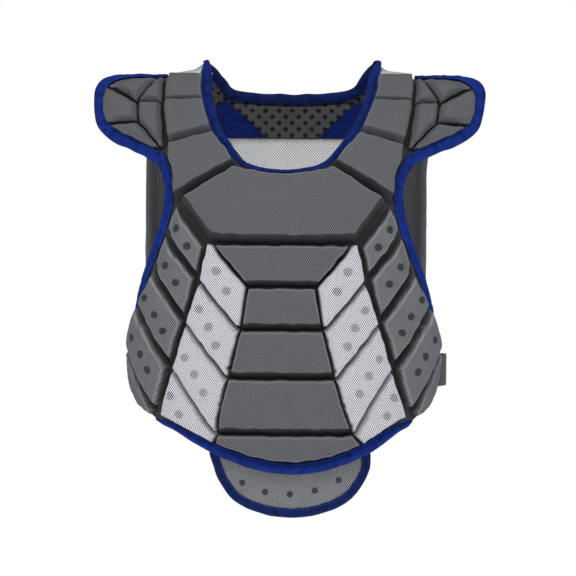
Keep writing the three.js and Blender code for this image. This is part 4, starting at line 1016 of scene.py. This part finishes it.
# ---- flap, back, liners ----
def flap():
    gu, gv = across_rows(levels(FLAP_ROWS), 44, 2.4)
    u, v, quads = merged_halves(gu, gv)
    base = -5.4 - 4.6 * (1 - smoothstep(v, -448, -430))
    lumps = 0.5 * ripple(u, v, 8, 40)
    verts, quads = cloth_body(u, v, quads, front(u, v, base), front(u, v, base + 4 + lumps * smoothstep(-v, 440, 460)))
    spots = np.array([(-60.3, -489.0), (-31.7, -499.4), (-1.3, -501.9), (29.2, -497.4), (58.3, -484.9)])
    far = np.linalg.norm(np.stack([u, v], -1)[:, None] - spots[None], axis=-1).min(1)
    uv = np.tile(np.stack([u, v], -1), (2, 1))
    o = mesh_object("belly_flap_cloth", swayed(verts), quads, uv, {"spot": np.tile(far, 2)})
    finish_piece(o, "belly_flap", "flap_mesh", FLAP)


def back_panel():
    gu, gv = across_rows(levels(BACK_ROWS), 60, 3.6)
    u, v, quads = merged_halves(gu, gv)
    k = np.clip(v / 46, 0, 1)
    drop = -np.maximum(0, 25 - 4.6e-4 * u * u - 7.4) * (1 - k * k * (3 - 2 * k))
    low, high = back(u, v, drop), back(u, v, 5 + 0.3 * ripple(u, v, 12, 46))
    lower = 9 * smoothstep(np.abs(u), 101, 122) * (1 - smoothstep(v, 40, 90))
    high[:, 2] -= lower
    low[:, 2] -= np.maximum(0, lower - 1.5 + drop)  # the inside stays under the outside
    verts, allq = cloth_body(u, v, quads, low, high)
    verts = behind_sway(verts)
    uv = np.tile(np.stack([u, v], -1), (2, 1))
    middle = uv[allq].mean(1)
    inside = (allq < len(u)).sum(1) > 2
    kind = np.where(inside & (middle[:, 1] < 139) & (np.abs(middle[:, 0]) < 104), 2, 0)
    outside = (allq >= len(u)).sum(1) > 2
    kind = np.where(outside, 3, kind)
    kind = np.where(middle[:, 1] < 34, 1, kind)
    o = mesh_object("back_panel_mesh", verts, allq, uv, faces_material=kind)
    finish_piece(o, "back_panel", "light_mesh", BACKING, YOKE, BLACK_MESH, BACK_OUTER)


def liners():
    gu, gv = across_rows(levels(NECK_MESH_ROWS), 30, 2.4)
    u, v, quads = merged_halves(gu, gv)
    lift = 0.25 * ripple(u, v, 31, 16)
    verts, quads = cloth_body(u, v, quads, back(u, v, -3.9 + lift), back(u, v, -1.5))
    o = mesh_object("neck_mesh_panel", verts, quads, np.tile(np.stack([u, v], -1), (2, 1)))
    finish_piece(o, "neck_mesh", "dark_mesh", BLACK_MESH)
    for side, sign in (("left", 1), ("right", -1)):
        gu, gv = across_rows(GUSSET_ROWS, 16, 2.4)
        low, high = back(gu, gv, -3.9 + 0.3 * ripple(gu, gv, 33, 14)), back(gu, gv, -1.5)
        for q in (low, high):
            q[..., 0] *= sign
        verts, quads = slab(low, high)
        o = mesh_object(f"neck_gusset_cloth_{side}", verts, quads, np.tile(np.stack([gu.ravel(), gv.ravel()], -1), (2, 1)))
        finish_piece(o, f"neck_gusset_{side}", "blue_tape", BLUE_IN)


# ---- side straps and buckles ----
def straps():
    route = np.array(
        [
            *[front(u, -352, h) for u, h in ((188, -7), (206, -7), (221, -7.2))],
            (176, -16, 0),
            (187, -1, 0),
            (194.5, 16, 0),
            (195, 32, 0),
            *[back(u, 422, h) for u, h in ((192, 11.4), (172, 11), (150, 10.8), (128, 10.8), (112, 10))],
        ],
        float,
    )
    route[:, 2] = 0
    for side, sign in (("left", 1), ("right", -1)):
        plan = spline(route * np.array([sign, 1, 1]), 2.5)
        n = len(plan)
        t = np.gradient(plan, axis=0)
        t /= np.linalg.norm(t, axis=1, keepdims=True)
        out = np.stack([t[:, 1], -t[:, 0], 0 * t[:, 0]], -1)
        along = np.concatenate([[0], np.cumsum(np.linalg.norm(np.diff(plan, axis=0), axis=1))])
        half = np.linspace(-20, 20, 13)
        grids = []
        for a in (-1.2, 1.2):
            thin = np.where(np.abs(half) > 19, 0.55, 1.0)
            g = plan[:, None] + out[:, None] * (a * thin)[None, :, None]
            g = g + np.array([0, 0, 1.0]) * (half[None, :, None])
            g[..., 2] += -357 + 0.4 * ripple(along, 0 * along, 15, 60)[:, None]
            grids.append(g)
        verts, quads = slab(*grids)
        weight = np.clip(-verts[:, 1] / 60, 0, 1)
        verts[:, 0] += weight * np.interp(verts[:, 2], SWAY_Z, SWAY_X)
        uv = np.tile(np.stack(np.meshgrid(along, half, indexing="ij"), -1).reshape(-1, 2), (2, 1))
        o = mesh_object(f"side_strap_web_{side}", verts, quads, uv)
        finish_piece(o, f"side_strap_{side}", "strap_web", WEB)


def buckles():
    for side in ("left", "right"):
        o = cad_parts[f"side_buckle_{side}"]
        o.data.materials.clear()
        o.data.materials.append(PLASTIC)


panel()
for side, sign in (("left", 1), ("right", -1)):
    cap_base(side, sign)
pads()
bindings()
neck()
flap()
back_panel()
liners()
straps()
buckles()


# ---- surroundings and light ----
def surroundings():
    scene = bpy.context.scene
    scene.view_settings.view_transform = "Standard"
    scene.view_settings.look = "None"
    world = bpy.data.worlds.new("studio")
    scene.world = world
    world.use_nodes = True
    tree = world.node_tree
    tree.nodes.clear()
    out = tree.nodes.new("ShaderNodeOutputWorld")
    fill, seen = tree.nodes.new("ShaderNodeBackground"), tree.nodes.new("ShaderNodeBackground")
    fill.inputs["Color"].default_value = (1, 1, 1, 1)
    fill.inputs["Strength"].default_value = 0.42
    seen.inputs["Color"].default_value = (1, 1, 1, 1)
    seen.inputs["Strength"].default_value = 1.0
    path, mix = tree.nodes.new("ShaderNodeLightPath"), tree.nodes.new("ShaderNodeMixShader")
    tree.links.new(path.outputs["Is Camera Ray"], mix.inputs[0])
    tree.links.new(fill.outputs[0], mix.inputs[1])
    tree.links.new(seen.outputs[0], mix.inputs[2])
    tree.links.new(mix.outputs[0], out.inputs[0])

    white = bpy.data.materials.new("studio_white")
    white.use_nodes = True
    b = white.node_tree.nodes["Principled BSDF"]
    b.inputs["Base Color"].default_value = (0.9, 0.9, 0.9, 1)
    b.inputs["Roughness"].default_value = 0.9
    b.inputs["Emission Color"].default_value = (1, 1, 1, 1)
    b.inputs["Emission Strength"].default_value = 0.62
    me = bpy.data.meshes.new("floor")
    ring = [(2.9 * math.cos(k * math.pi / 32), 2.9 * math.sin(k * math.pi / 32), -0.95) for k in range(64)]
    me.from_pydata(ring, [], [tuple(range(64))])
    me.materials.append(white)
    floor = bpy.data.objects.new("floor", me)
    scene.collection.objects.link(floor)

    def area(name, place, aim, size, watts):
        data = bpy.data.lights.new(name, "AREA")
        data.shape, data.size, data.size_y, data.energy = "RECTANGLE", size[0], size[1], watts
        o = bpy.data.objects.new(name, data)
        o.location = place
        o.rotation_euler = (Vector(aim) - Vector(place)).to_track_quat("-Z", "Y").to_euler()
        scene.collection.objects.link(o)

    area("key_above_front", (0.0, -1.5, 1.5), (0, -0.05, -0.25), (1.8, 1.0), 34)
    area("left_side", (-1.7, -1.3, 0.3), (0, 0, -0.25), (0.9, 1.4), 9)
    area("right_side", (1.7, -1.3, 0.3), (0, 0, -0.25), (0.9, 1.4), 9)


surroundings()
